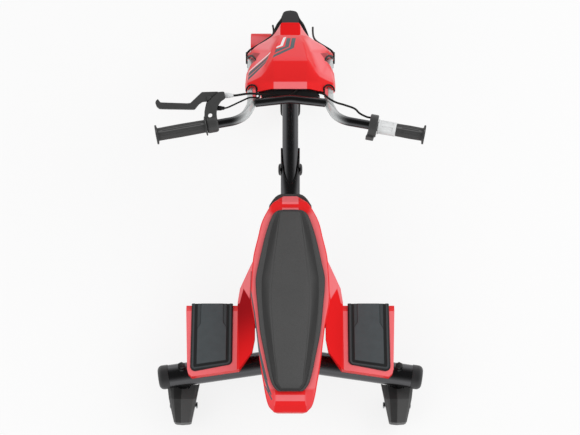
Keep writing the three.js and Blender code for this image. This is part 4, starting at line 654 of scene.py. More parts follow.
endCap = {"radius": 31.5, "length": 28.0, "rounding": 13.0, "gap": 0.3}


def buildEndCaps():
    # A plug turned round the tube's end: a flat face with a quarter-round edge and a thin lip
    sweep = math.radians(rear["sweep"])
    radius, length, gap = endCap["radius"], endCap["length"], endCap["gap"]
    corners = [[0, gap], [radius, gap], [radius, length], [0, length]]
    for side, name, end in sides:
        axis = np.array([side * math.cos(sweep), -math.sin(sweep), 0])
        shape = (corners, [1.0, endCap["rounding"]], rearEnd(side), axis, 56, capBlack, 12)
        settle(turnedPiece("endCap" + end, *shape), "frame", ["tube_cap_" + name])


mainTube = {"radius": 21.2, "knee": 156.8, "start": 362.0, "aboveHead": 7.5}
spine = {
    "radius": 25.4, "start": 28.0, "bendEnd": 400.0, "mouth": 535.0, "lip": 449.0, "socketEnd": 356.0,
    "bend": 140.0, "mount": (30, 40), "mountTop": 157.7,
}
headTube = {"along": 245.0, "half": 42.0, "radius": 22.0, "bore": 17.0}
meeting = steerPoint(0, 0, headTube["along"] + mainTube["aboveHead"])
mainRise = (meeting[2] - rearHeight) / (meeting[1] - mainTube["knee"])
mainAxis = unit(np.array([0, 1, mainRise]))


def mainPoint(y):
    return np.array([0, y, rearHeight + mainRise * (y - mainTube["knee"])])


def buildSpine():
    # A tube whose upper half ends on a slant: a point at angle a of the end stands back by
    # (mouth - lip) times the sine of a, and the skin then turns inwards to the socket's bore
    corners = [[0, spine["start"], rearHeight], mainPoint(mainTube["knee"]), mainPoint(spine["bendEnd"])]
    path = bentRoute(corners, [spine["bend"]], 24)
    outer = ringsAlong(path, spine["radius"], 56, (1.0, 0.0, 0.0))
    end, spread = path[-1], outer[-1] - path[-1]
    height = spread @ np.cross(np.array([1.0, 0, 0]), mainAxis) / spine["radius"]
    slant = (spine["mouth"] - spine["lip"]) / mainAxis[1]
    reach = (spine["mouth"] - spine["bendEnd"]) / mainAxis[1] - slant * np.maximum(0, height)
    bore = (mainTube["radius"] + 0.3) / spine["radius"]
    edges = ((1, 2), (0.985, 0.8), (0.94, 0), (bore, 1))
    lip = [end + spread * size + (reach - back)[:, None] * mainAxis for size, back in edges]
    grid = np.concatenate([outer, [*lip, mainPoint(spine["socketEnd"]) + spread * bore]])
    settle(gridPiece("spineTube", grid, chrome, sharp=50), "frame", ["spine_tube"], "black_tube")
    place = (rectangle(*spine["mount"]), [-15, 80, rearHeight], plan, spine["mountTop"] - rearHeight)
    plate("seatMount", *place, chrome, 1.0, **onFrame)


def buildMainTube():
    # A straight tube to the head, and a head tube turned about the steering axis with a lip at each end
    path = np.array([mainPoint(mainTube["start"]), meeting])
    tube = tubePiece("mainTube", path, mainTube["radius"], 56, chrome, (1, 0, 0))
    settle(tube, "frame", ["main_tube"], "black_tube")
    radius, half, bore = headTube["radius"], headTube["half"], headTube["bore"]
    corners = [[bore, -half], [radius + 1.5, -half], [radius + 1.5, -half + 7], [radius, -half + 9]]
    corners += [[r, -a] for r, a in corners[::-1]]
    profile = softProfile(corners, [0.8, 0.8, 1.5, 1.5, 0.8, 0.8])
    middle = steerPoint(0, 0, headTube["along"])
    rings = turnedRings(np.vstack([profile, profile[:1]]), middle, steerUp, 56)
    settle(gridPiece("headTube", rings, chrome, caps=False), **onFrame)


# Fork legs that run on as the handlebar
fork = {
    "leg": 364.0, "halfWidth": 98.0, "radius": 11.1, "start": 24.0, "bends": [60.0, 80.0, 52.0],
    "eye": 20.0, "eyeSpan": (33, 327), "plate": 6.0, "cross": 10.6,
}
barTop = {"x": 95.5, "y": 529.5, "height": 570.0}
bar = {"knee": 114.0, "inner": 202.6, "outer": 323.0, "reach": 460.0, "rise": 30.0, "sweep": 11.0}
barHeight = barTop["height"] + bar["rise"]
barSweep = math.radians(bar["sweep"])
barOut = np.array([math.cos(barSweep), -math.sin(barSweep), 0])
barFore = np.array([math.sin(barSweep), math.cos(barSweep), 0])


def barAt(x):
    return np.array([x, bar["reach"] - (abs(x) - bar["inner"]) * math.tan(barSweep), barHeight])


def forkRoute():
    start, top = (steerPoint(fork["halfWidth"], 0, fork[key]) for key in ("start", "leg"))
    corners = [start, top, list(barTop.values()), barAt(bar["knee"]), barAt(bar["outer"])]
    return bentRoute(corners, fork["bends"], 18)


def buildFork():
    # One tube per side along leg, upright and grip, its dropout plate, and the crossbar between the tops
    rings = ringsAlong(forkRoute(), fork["radius"], 40)
    eye = np.linspace(*np.radians(fork["eyeSpan"]), 30) + math.pi / 2
    outline = np.column_stack([fork["eye"] * np.cos(eye), fork["eye"] * np.sin(eye)])
    outline = np.vstack([outline, [[11.1, 46], [-11.1, 46]]])
    for side, name, end in sides:
        leg = gridPiece("fork" + end, rings if side > 0 else rings * flipX, barChrome)
        settle(leg, stands=["fork_leg_" + name], slot="black_tube")
        start = steerPoint(side * fork["halfWidth"] - 3, 0, 0)
        place = (outline, start, steerPlane, fork["plate"])
        plate("dropout" + end, *place, chrome, 0.8, slot="black_tube")
    last = np.array([barTop["x"] - 9.5, barTop["y"] + 3.5, barTop["height"] + 4])
    path = bentRoute([last * flipX, [0, last[1] + 8, last[2] + 6], last], [last[0]], 20)
    cross = tubePiece("crossbar", path, fork["cross"], 40, chrome, (0, 0.3, 1))
    settle(cross, stands=["crossbar"], slot="black_tube")
    lug = (rectangle(33, 8, 66), steerPoint(78.2, 0, 0), steerPlane, 19.8)
    plate("cableLug", *lug, chrome, 0.8, slot="black_tube")


buildRearTube()
buildEndCaps()
buildSpine()
buildMainTube()
buildFork()
print("stage: tubes built")

# Fairing: half sections from the rear lip to the nose, each a share of length and then points as
# shares of half width, depth and length
fairing = {
    "back": 567.0, "length": 253.0, "halfWidth": 111.0, "high": 620.0, "depth": 204.0, "wall": 3.2,
    "rows": [
        [0, [[0, 0.779, 0.016], [0.432, 0.779, 0.016], [0.649, 0.75, 0.004], [0.925, 0.706, 0.008],
            [1, 0.588, 0.03]]],
        [0.087, [[0, 0.789, 0], [0.369, 0.789, 0], [0.595, 0.76, 0.01], [0.965, 0.7, 0.024],
            [1.02, 0.56, 0.032]]],
        [0.249, [[0, 1, 0], [0.387, 1, 0], [0.541, 0.85, -0.05], [0.955, 0.67, -0.087],
            [1.02, 0.495, -0.063]]],
        [0.447, [[0, 0.863, 0], [0.324, 0.858, 0], [0.505, 0.735, 0], [0.865, 0.564, 0],
            [0.977, 0.373, 0]]],
        [0.577, [[0, 0.75, 0], [0.252, 0.74, 0], [0.459, 0.627, 0], [0.811, 0.525, 0],
            [1.01, 0.294, 0]]],
        [0.65, [[0, 0.653, 0], [0.246, 0.643, 0], [0.425, 0.565, 0], [0.735, 0.49, -0.035],
            [0.96, 0.288, -0.03]]],
        [0.794, [[0, 0.461, 0], [0.22, 0.451, 0], [0.28, 0.436, -0.01], [0.4, 0.412, -0.06],
            [0.505, 0.27, -0.075]]],
        [1, [[0, 0.176, 0], [0.2, 0.17, 0], [0.215, 0.155, 0], [0.235, 0.12, 0], [0.27, 0, 0]]],
    ],
    "lineCrease": [0.0, 0.85, 0.45, 0.9],
    "rowCrease": [[1, 1, 0.9], [0.95, 0.9, 0.3], [0.9, 0.5, 0.1], [0, 0, 0], [0, 0, 0], [0, 0, 0],
        [0.7, 0.5, 0.2], [1, 1, 1]],
    "levels": 3,
    "notch": [[85, 662.5], [92.2, 677.6], [102, 689.8], [118, 695], [140, 695], [140, 636], [118, 641],
        [101, 652], [92, 660]],
    "noseFacet": [[[-9, 734.5], [21, 734.5], [25.6, 739.5], [26.2, 792], [24.6, 822], [22.4, 830],
        [-9, 830]]],
    "arch": [[83, 545], [83, 570], [84.8, 576.5], [89.5, 581.5], [95.5, 583.2], [101.5, 581.5],
        [106.3, 576.5], [108, 570], [108, 545]],
    "archBead": [[82.4, 562, 558], [82.4, 571, 565], [84, 577.5, 568.5], [89, 583, 568.5],
        [95.5, 585, 567.5], [102, 583.4, 566], [107, 578.5, 563.5], [109.5, 572, 558]],
    "notchBead": [[82.9, 660, 545], [87.4, 668.2, 542], [93, 678.2, 535], [98.4, 686.6, 525],
        [103.5, 692.7, 512], [107.3, 695.4, 498], [108.7, 697.4, 482]],
    "trim": [[108.8, 699.4, 478], [112.5, 706.4, 484], [111, 710.8, 492], [103.8, 715.4, 500],
        [91.1, 723.8, 500], [76, 736.8, 494], [61.9, 753.6, 482]],
    "prongRight": [[58, 776, 470], [58.5, 800, 463]],
    "prongLeft": [[-44.5, 772, 472], [-42.5, 786, 468], [-45.5, 806, 462]],
    "fin": [[551.5, 545], [551.5, 571.5], [578, 563], [578, 540]],
    "finBead": [[84.4, 551.5, 570], [84.4, 566, 566], [84.4, 579, 562]], "finPlaces": [-92.8, 85.2],
    "finWidth": 7.6, "trimRadius": 2.5, "beads": {"arch": 2.1, "notch": 2.4},
    "cuts": {"notch": [380, 190], "arch": [500, 140]},
}
# Painted light and shade on the fairing: the pale and light reds are painted sheen and highlight on the
# flanks, the rear lip and beside the nose, the middle red a weaker painted sheen on the top, and the
# shaded red painted shade in the recess above each notch. The deep red is the plastic's own, on the rear
# faces and along the ridges; the grey and white stripes on the left are print.
fairingAreas = [
    ("light", 9.0, True, [
        [[43.8, 741.5], [62.2, 751.5], [108.4, 722.4], [104.4, 712.3], [77, 695.2], [51.7, 678.2],
            [38.6, 715.7]],
    ]),
    ("pale", 8.0, True, [
        [[51.6, 677.7], [76.7, 691.1], [91, 646.4], [81.6, 614.8], [72, 618.2]],
        [[91, 647.4], [110.3, 631.3], [109.7, 601.3], [80.7, 614.8]],
    ]),
    ("mid", 2.0, True, [[[-9, 628.6], [45, 628.6], [43, 643], [27, 736], [-9, 736]]]),
    ("deep", 2.5, True, [
        [[27.4, 726.9], [32.4, 726.9], [51.6, 663.1], [53.1, 648], [44.9, 646.5]],
        [[44.9, 647.5], [53.2, 649], [63.1, 628.7], [57.9, 625.8]],
    ]),
    ("deep", 2.5, True, [
        [[-9, 627.8], [44.8, 627.8], [60, 611], [60, 555], [-9, 555]],
        [[44, 627], [77, 601.5], [77, 555], [44, 555]],
        [[62, 608], [118, 592], [118, 555], [62, 555]],
        [[30, 700], [35.5, 696], [50.5, 646], [60, 610], [50, 605], [42, 628]],
    ]),
    ("pale", 0.6, True, [
        [[-9, 588.8], [41.2, 588.8], [41.2, 560], [-9, 560]],
        [[24.6, 738], [54, 746], [50, 762], [36, 795], [26, 818], [24.6, 800]],
    ]),
    ("deep", 0.8, True, fairing["noseFacet"]),
    ("shade", 0.8, True, [[[76, 682.8], [95, 696], [106, 697], [104, 672], [88.7, 664]]]),
    ("stripeGrey", 0.3, False, [
        [[-8.6, 716.8], [1.2, 716.8], [-3.5, 677], [-13.3, 679]],
        [[-13.3, 679], [-3.5, 677], [-39, 652.5], [-36.2, 668.5]],
        [[4, 716.8], [14, 716.8], [8.9, 673], [-0.6, 676]],
        [[-0.6, 676], [8.9, 673], [-43.5, 635], [-40.8, 646.5]],
        [[-52, 662], [-56, 651], [-104.8, 616], [-104.6, 628]],
        [[-57, 649], [-61.5, 640], [-77, 626], [-105, 604], [-104.9, 613]],
    ]),
    ("stripeWhite", 0.3, False, [
        [[-17.2, 720], [-10, 723.3], [-18.7, 681.5], [-24.8, 684.7]],
        [[-24.8, 684.7], [-18.7, 681.5], [-33.8, 673.5], [-35.3, 677]],
        # This long white line on the left flank is a painted highlight line, not print
        [[-48, 672], [-51, 666], [-104.4, 631], [-104.2, 634]],
    ]),
]


def fairingCage():
    # Each station's half points, mirrored to the left, and a last row that drops the nose's front
    table = np.array([[[share, *point] for point in half] for share, half in fairing["rows"]])
    x = table[:, :, 1] * fairing["halfWidth"]
    y = fairing["back"] + (table[:, :, 0] + table[:, :, 3]) * fairing["length"]
    z = fairing["high"] - (1 - table[:, :, 2]) * fairing["depth"]
    cage = wholeGrid(halfGrid(x, y, z))
    nose = cage[-1:].copy()
    nose[:, :, 2] = fairing["high"] - fairing["depth"]
    return np.concatenate([cage, nose])


def setCreases(piece, columns, along, across):
    # Every edge is looked up by the grid rows and columns of its two ends
    mesh = piece.data
    ends = np.zeros(len(mesh.edges) * 2, int)
    mesh.edges.foreach_get("vertices", ends)
    ends = np.sort(ends.reshape(-1, 2), axis=1)
    row, column = ends // columns, ends % columns
    first = column[:, 0]
    sideways = across[row[:, 0], np.minimum(first, columns - 2)]
    weight = np.where(first == column[:, 1], along[first], sideways)
    attribute = mesh.attributes.new("crease_edge", "FLOAT", "EDGE")
    attribute.data.foreach_set("value", weight.astype(np.float32))


def buildFairing():
    # A creased control cage, smoothed by subdivision, walled, and cut by the uprights and the notches
    cage = fairingCage()
    rows, columns = cage.shape[:2]
    finish = redPlastic("fairingRed", fairingAreas, 0.45, fairing["noseFacet"])
    piece = newPiece("fairingShell", cage.reshape(-1, 3), gridFaces(rows, columns, False), finish)
    line = np.array(fairing["lineCrease"] + [0.0])
    cross = np.array([row + [0.0] for row in fairing["rowCrease"]] + [[0.9] * (columns // 2)])
    across = np.concatenate([cross[:, ::-1], cross], axis=1)
    setCreases(piece, columns, np.concatenate([line[:0:-1], line]), across)
    openShell(piece, fairing["wall"], fairing["levels"])
    cutters = [tubePiece("cutTube", forkRoute() * flipX, fork["radius"] + 0.2, 32, finish)]
    for key, (low, depth) in fairing["cuts"].items():
        outline = np.array(fairing[key]) * flipX[:2]
        cutters.append(prismPiece("cutPlan", outline, (0, 0, low), plan, depth, finish))
    cutAway(piece, cutters)
    twin = piece.modifiers.new("twin", "MIRROR")
    twin.use_bisect_axis = twin.use_bisect_flip_axis = (True, False, False)
    finalMesh(piece)
    piece.data.set_sharp_from_angle(angle=math.radians(34))
    settle(piece, stands=["fairing"], slot="red_plastic")


def buildFairingBeads():
    # Soft black beads round the arch and the notch, and a fin with its own bead behind each arch
    for (side, name, end), x in zip(sides, fairing["finPlaces"]):
        flip = np.array([side, 1, 1])
        for key, radius in fairing["beads"].items():
            path = splineRoute(np.array(fairing[key + "Bead"]) * flip, 40)
            settle(tubePiece(key + "Bead" + end, path, radius, 12, jacket))
        fin = (fairing["fin"], (x, 0, 0), ((0, 1, 0), (0, 0, 1)), fairing["finWidth"], red, 1.0)
        plate("innerFin" + end, *fin, slot="red_plastic")
        settle(tubePiece("finBead" + end, np.array(fairing["finBead"]) * flip, 1.3, 10, gloss))


def bSpline(points, steps):
    # The smooth curve that subdivision gives a boundary: each point weighs its neighbours 1 4 1
    p = np.vstack([2 * points[0] - points[1], points, 2 * points[-1] - points[-2]])
    t = np.linspace(0, len(points) - 1, steps)
    i = np.minimum(t.astype(int), len(points) - 2)
    f = (t - i)[:, None]
    weights = ((1 - f) ** 3, 3 * f**3 - 6 * f**2 + 4, -3 * f**3 + 3 * f**2 + 3 * f + 1, f**3)
    return sum(weight * p[i + n] for n, weight in enumerate(weights)) / 6


def buildFairingTrims():
    # A soft black bead along each flank's front edge, from the notch on to a prong beside the mudguard
    for side, name, end in sides:
        path = np.vstack([np.array(fairing["trim"]) * [side, 1, 1], fairing["prong" + end]])
        route, radius = bSpline(path, 120), fairing["trimRadius"]
        trim = tubePiece("fairingTrim" + end, route, radius, 14, jacket, (0.2, 0.1, 1))
        settle(trim, stands=["fairing_trim_" + name])


dash = {
    "visor": [[-84, 571], [-48, 577.5], [47, 577.5], [84, 570], [67, 563.2], [58.6, 563.2], [52, 557],
        [-58.5, 557]],
    "low": 556.0, "thickness": 3.4, "knobFoot": (63.3, 555.2, 551),
    "knob": [[0, 0], [5.4, 0], [6.6, 3], [6.6, 10], [0, 10.6]],
}


def buildDashVisor():
    # The dash's black lip, which fills the space under the fairing's rear edge, and its small knob
    plate("dashVisor", dash["visor"], (0, 0, dash["low"]), plan, dash["thickness"], dashBlack, 1.0)
    settle(turnedPiece("dashKnob", dash["knob"], [1, 1, 2.5], dash["knobFoot"], (0, 0, 1), 32, gloss))


buildFairing()
buildFairingBeads()
buildFairingTrims()
buildDashVisor()
print("stage: fairing built")

# Seat shell and pad, from rows of share of length and then shares of the sizes named here
seat = {
    "back": -177.0, "front": 404.5, "halfWidth": 101.0, "deck": 284.0, "crest": 28.0, "skirt": 27.0,
    "bevel": 5.0, "draw": 9.0, "wall": 3.5,
    "rows": [[0, 0.4, 0.5, 0.667], [0.024, 0.535, 0.893, 0.889], [0.072, 0.614, 1, 1],
        [0.111, 0.653, 0.893, 1], [0.215, 0.752, 0.571, 0.963], [0.374, 0.866, 0.214, 0.963],
        [0.521, 1, 0, 0.926], [0.685, 0.96, 0, 0.926], [0.805, 0.822, 0.071, 0.926],
        [0.858, 0.752, 0.143, 0.926], [0.938, 0.53, 0.214, 0.889], [0.959, 0.436, 0.214, 0.741],
        [1, 0.198, -0.571, 0.296]],
    "stations": 120,
}


def deckAt(y):
    table = np.asarray(seat["rows"], float)
    places = seat["back"] + table[:, 0] * (seat["front"] - seat["back"])
    return seat["deck"] + np.interp(y, places, table[:, 2]) * seat["crest"]


def buildSeatShell():
    # Across each station: a flat deck, a quarter-round edge of the bevel's size, and a skirt drawn in
    rows = smoothRows(seat["rows"], seat["stations"], linear=(2,))
    share, width, height, fall = (rows[:, i, None] for i in range(4))
    half, skirt = width * seat["halfWidth"], fall * seat["skirt"]
    deck = seat["deck"] + height * seat["crest"]
    bevel, draw = seat["bevel"], seat["draw"]
    turn = np.radians([0, 22, 45, 68, 90])[None, :]
    flat = (half - bevel) * np.array([0, 0.35, 0.7, 0.9])[None, :]
    x = np.hstack([flat, half - bevel + bevel * np.sin(turn), half - draw * 0.5, half - draw])
    rim = deck - bevel + bevel * np.cos(turn)
    z = np.hstack([deck + 0 * flat, rim, deck - skirt * 0.6, deck - skirt])
    y = seat["back"] + share * (seat["front"] - seat["back"])
    piece = gridPiece("seatShell", wholeGrid(halfGrid(x, y, z)), seatRed, closed=False)
    openShell(piece, seat["wall"])
    path = np.array([mainPoint(mainTube["knee"]), mainPoint(560)])
    cutAway(piece, [tubePiece("cutSpine", path, spine["radius"] + 0.6, 40, seatRed, (1, 0, 0))])
    settle(piece, "frame", ["seat_shell"], "red_plastic")


# Painted light and shade on the seat: the pale bands on the nose are painted sheen, the middle red at the
# tail's corners a weaker painted sheen, and the deep red the plastic's own; the grey stripes are print.
seatAreas = [
    ("deep", 9.0, True, [[[-9, 415], [30, 415], [58, 382], [54, 352], [38, 338], [-9, 350]]]),
    ("mid", 4.0, True, [[[36.6, -122], [60, -122], [56, -160], [41, -182], [36.6, -152]]]),
    ("deep", 0.8, True, [
        [[-9, -125], [38, -125], [37, -137], [-9, -137]],
        [[-9, -152.3], [36.5, -152.3], [41, -182], [-9, -182]],
    ]),
    ("pale", 0.6, True, [
        [[-9, 374.2], [21.4, 374.2], [21.4, 420], [-9, 420]],
        [[-9, 356], [21.4, 356], [21.4, 364], [-9, 364]],
    ]),
    ("stripeGrey", 0.35, False, [
        [[-103, 144.5], [-100.6, 144.5], [-95, 111.2], [-98.2, 111.2]],
        [[-98.2, 111.2], [-95, 111.2], [-89.3, 79.1], [-92.6, 79.1]],
        [[-92.6, 79.1], [-89.3, 79.1], [-83.4, 34.6], [-87, 34.6]],
        [[-87, 34.6], [-83.4, 34.6], [-79.4, 1.3], [-83.4, 1.3]],
        [[-83.4, 1.3], [-79.4, 1.3], [-74.4, -24], [-79.6, -24]],
        [[-79.6, -24], [-74.4, -24], [-56, -101], [-64.8, -97]],
        [[-64.8, -97], [-57, -101], [-51, -130.5], [-53.6, -130.5]],
        [[-63.4, -115.5], [-61.6, -113], [-44.4, -147.5], [-46.4, -150.5]],
        [[-58.6, -111], [-55.6, -109], [-46, -136], [-48, -139]],
    ]),
]
seatRed = redPlastic("seatRed", seatAreas)

pad = {
    "back": -129.0, "front": 355.4, "halfWidth": 89.0, "border": 8.0, "rise": 10.0, "edge": 3.0,
    "drawIn": 1.6, "crown": 2.4, "channel": 1.2,
    "rows": [[0, 0.348, 0.25, 0.2, 0.2], [0.014, 0.43, 0.335, 0.28, 0.55],
        [0.043, 0.524, 0.427, 0.36, 0.9], [0.101, 0.618, 0.506, 0.388, 1],
        [0.214, 0.742, 0.618, 0.461, 1], [0.327, 0.862, 0.719, 0.506, 1],
        [0.494, 0.955, 0.809, 0.562, 1], [0.56, 0.99, 0.822, 0.556, 1], [0.613, 1, 0.82, 0.528, 1],
        [0.655, 0.972, 0.79, 0.507, 1], [0.7, 0.921, 0.753, 0.483, 1], [0.792, 0.816, 0.663, 0.427, 1],
        [0.86, 0.73, 0.596, 0.382, 1], [0.932, 0.607, 0.483, 0.337, 0.9],
        [0.977, 0.506, 0.382, 0.303, 0.7], [0.991, 0.43, 0.33, 0.265, 0.5], [1, 0.337, 0.24, 0.2, 0.2]],
    "stations": 130, "swell": 2.2, "pressure": 4.0, "frames": 20,
}


def padGrid():
    # Half a section from the middle out: crowned top, channel, curved slope, channel, flat border,
    # rounded edge, drawn-in side. The channels and the border are held.
    rows = smoothRows(pad["rows"], pad["stations"])
    y = pad["back"] + rows[:, :1] * (pad["front"] - pad["back"])
    half, foot, top = (rows[:, i, None] * pad["halfWidth"] for i in (1, 2, 3))
    share = rows[:, 4, None]
    deck = deckAt(y)
    border = deck + pad["border"]
    crest = border + pad["rise"] * share
    edge, channel = pad["edge"], pad["channel"] * share
    across = np.linspace(0, 0.96, 9)[None, :]
    down = np.linspace(0.05, 0.95, 8)[None, :]
    turn = np.radians([0, 30, 60, 90])[None, :]
    slopeX = top + (foot - top) * down
    slopeZ = border + pad["rise"] * share * (1 - down**1.25) - 0.15
    flatX = foot + (half - edge - foot) * np.array([0.16, 0.5, 0.84])[None, :]
    rimX, rimZ = half - edge + edge * np.sin(turn), border - edge + edge * np.cos(turn)
    under = deck + 0.4
    topZ = crest + pad["crown"] * share * (1 - across**2)
    side = np.array([[0.6, 0.02]]) * half
    x = np.hstack([top * across, top, slopeX, foot, flatX, rimX, half - pad["drawIn"], side])
    z = [topZ, crest - channel, slopeZ, border - channel, border + 0 * flatX, rimZ, under, under, under]
    held = np.ones(x.shape[1])
    held[np.r_[:8, 11:17, 20]] = 0
    return halfGrid(x, y, np.hstack(z)), held


def pointsOf(piece):
    place = np.zeros(len(piece.data.vertices) * 3)
    piece.data.vertices.foreach_get("co", place)
    return place.reshape(-1, 3)


def inflate(piece, held):
    # Cloth with pressure swells the panels between the held seams, and no point moves past the cap
    group = piece.vertex_groups.new(name="seams")
    for index in np.flatnonzero(held > 0.5).tolist():
        group.add([index], 1.0, "REPLACE")
    rest = pointsOf(piece)
    cloth = piece.modifiers.new("cloth", "CLOTH")
    cloth.settings.vertex_group_mass = "seams"
    cloth.settings.use_pressure = True
    cloth.settings.uniform_pressure_force = pad["pressure"]
    cloth.settings.effector_weights.gravity = 0
    cloth.settings.quality = 6
    cloth.point_cache.frame_start = 1
    cloth.point_cache.frame_end = pad["frames"]
    for step in range(1, pad["frames"] + 1):
        bpy.context.scene.frame_set(step)
    finalMesh(piece)
    bpy.context.scene.frame_set(1)
    shift = pointsOf(piece) - rest
    length = np.linalg.norm(shift, axis=1, keepdims=True)
    shift *= np.minimum(1, pad["swell"] / 1000 / np.maximum(length, 1e-9))
    piece.data.vertices.foreach_set("co", (rest + shift).ravel())
    print("stage: pad swelled by up to", round(float(length.max()) * 1000, 1), "mm")


def buildPad():
    right, held = padGrid()
    grid = np.concatenate([right, right[:, :0:-1] * flipX], axis=1)
    piece = gridPiece("seatPad", grid, vinyl, sharp=180)
    count = 3 * grid.shape[1]
    hold = np.tile(np.concatenate([held, held[:0:-1]]), len(grid))
    hold[:count] = hold[-count:] = 1
    if len(hold) == len(piece.data.vertices):
        inflate(piece, hold)
    subdivide(piece, 1)
    finalMesh(piece)
    settle(piece, "frame", ["seat_pad"], "pad")


noseRim = {
    "half": [[57, 366], [55.4, 380], [46, 395.5], [39, 404], [32, 409.3], [25, 411.9]], "low": 261.5,
}


def buildNoseRim():
    # The black base shows as a thin band round the seat's nose
    outline = noseRim["half"] + [[-x, y] for x, y in noseRim["half"][::-1]]
    plate("noseRim", outline, (0, 0, noseRim["low"]), plan, 5, satin, 1.4, body="frame")


buildSeatShell()
buildPad()
buildNoseRim()
print("stage: seat built")

# Foot mats: a height over the tread for each point of a rounded rectangle
mat = {
    "inner": 150.0, "outer": 258.0, "back": -40.0, "front": 133.0, "corner": 13.0, "tread": 190.0,
    "crease": 113.0, "fall": 12 / 123, "thickness": 4.6, "gap": 0.3, "low": "1b1b1b", "high": "50575a",
    "rim": (0.5, 3.0, 7.6, 9.8), "shoulder": (15, 9, 0.6, 0.71), "inside": (14.4, 16.4),
    "heights": (2.6, 2.4, 1.2), "shadingTones": (0.12, 0.62, 0.86, 0.6),
}


def matRelief(side, back, length):
    # Height and tone by depth in from the edge: a rolled rim, a groove, a ledge, and a panel that is
    # narrower at the front, with a slanted shoulder each side. The tone is painted light and shade: dark
    # in the groove and on the rim's outer roll, lighter on the rim's crest, the ledge and the panel
    corner = mat["corner"]
    depth = np.minimum(side, back)
    nearCorner = (side < corner) & (back < corner)
    depth = np.where(nearCorner, corner - np.hypot(corner - side, corner - back), depth)
    start, full, fall, end = mat["rim"]
    rim = rise(depth, start, full) - rise(depth, fall, end)
    narrow, step, first, last = mat["shoulder"]
    inset = narrow + step * rise(back, first * length, last * length)
    inner = rise(depth, *mat["inside"])
    panel = inner * rise(side, inset, inset + 2)
    ledge = inner * (1 - rise(side, inset - 1, inset + 1)) * rise(side, narrow, narrow + 2)
    base, onRim, onPanel, onLedge = mat["shadingTones"]
    tone = base + onRim * rim * rise(depth, 2.6, 5) + onPanel * panel + onLedge * ledge
    height = sum(part * most for part, most in zip((rim, panel, ledge), mat["heights"]))
    return height, np.clip(tone, 0, 1)


def matFinish():
    # Grained rubber whose tone follows the mesh's own attribute, darker in the grooves and on the rim's
    # outer roll as painted shade
    shader = Shader("matRubber", {"Specular IOR Level": 0.35})
    tone = shader.node("ShaderNodeAttribute", {"attribute_name": "tone"}, output="Fac")
    base = shader.blend(tone, mat["low"], mat["high"])
    base = shader.blend(0.3 * shader.noise(60.0, 3.0), base, "2a2a2a")
    return shader.skin(base, (0.62, 0.12, 50.0), (1400.0, 4.0, 0.00012, 0.5))


def buildMats():
    # Points are spread evenly in a rounded square whose back edge follows the rear tube's sweep
    middle, half = (mat["inner"] + mat["outer"]) / 2, (mat["outer"] - mat["inner"]) / 2
    corner = mat["corner"]
    finish = matFinish()
    u = np.linspace(-1, 1, 141)[None, :]
    start = mat["back"] - u * half * rearFall
    length = mat["front"] - start
    back = np.linspace(0, 1, 171)[:, None] * length
    reach = np.minimum(back, corner)
    narrow = corner - np.sqrt(np.maximum(corner**2 - (corner - reach) ** 2, 0))
    side = (half - narrow) * (1 - np.abs(u)) + narrow * (1 - np.abs(u) ** 8)
    ground = mat["tread"] - np.maximum(0, start + back - mat["crease"]) * mat["fall"]
    top = ground + mat["thickness"] - mat["heights"][0] + matRelief(side, back, length)[0]
    x = middle + u * (half - narrow)
    over, under = (halfGrid(x, start + back, z) for z in (top, ground + mat["gap"]))
    grid = np.concatenate([over, under[:, ::-1]], axis=1)
    for side, name, end in sides:
        piece = gridPiece("footMat" + end, grid if side > 0 else grid * flipX, finish)
        place = (pointsOf(piece) - offset) * 1000
        out = np.abs(place[:, 0]) - middle
        start = mat["back"] - out * rearFall
        tone = matRelief(np.maximum(half - np.abs(out), 0), place[:, 1] - start, mat["front"] - start)[1]
        layer = piece.data.attributes.new("tone", "FLOAT", "POINT")
        layer.data.foreach_set("value", tone.astype(np.float32))
        settle(piece, "frame", ["foot_mat_" + name], "black_rubber")


buildMats()

# Controls
grip = {
    "radius": 15.6, "bore": 11.4, "flange": 23.5, "swell": 0.6, "ribs": 9, "ribDepth": 0.7, "count": 90,
    "ribStart": (9, 14), "ribEnd": (16, 10),
}


def scaledRings(rings, profile, start, scale):
    # Rings whose points move towards the bar's middle line by a scale
    centres = (np.asarray(start) + profile[:, 1, None] * barOut)[:, None]
    return centres + (rings - centres) * scale[..., None]


def gripRings(foot, length, innerFlange):
    # A turned sleeve whose radius swells at the middle and carries ribs: depth times the cosine of the
    # angle raised so that its crests are round and its valleys narrow
    radius, flange, count = grip["radius"], grip["flange"], grip["count"]
    inner = flange if innerFlange else radius
    corners = [[grip["bore"], 0], [inner, 0], [inner, 3], [radius, 4.4]]
    corners += [[radius + grip["swell"], length / 2], [radius, length - 4.6]]
    corners += [[flange, length - 3], [flange, length + 1.2], [0, length + 2]]
    profile = denseProfile(softProfile(corners, [1.2, 1.2, 1.2, 30, 1.2, 1.2, 1.4], 8), 120)
    along = profile[:, 1]
    (start, full), (fall, stop) = grip["ribStart"], grip["ribEnd"]
    ribbed = rise(along, start, full) * (1 - rise(along, length - fall, length - stop))
    body = ribbed * (profile[:, 0] > 13)
    angle = np.linspace(0, 2 * math.pi, count, endpoint=False)
    rib = np.maximum(0, np.cos(angle * grip["ribs"])) ** 6
    scale = 1 - body[:, None] * rib[None, :] * grip["ribDepth"] / radius
    return scaledRings(turnedRings(profile, foot, barOut, count), profile, foot, scale)


sleeve = {
    "length": 44.0, "radius": 17.0, "bore": 11.5, "rim": 18.4, "rimWidth": 3.0, "recess": 2.4,
    "angles": (-30, 30, 150, -150), "middle": 23.5, "inset": 11.6,
}


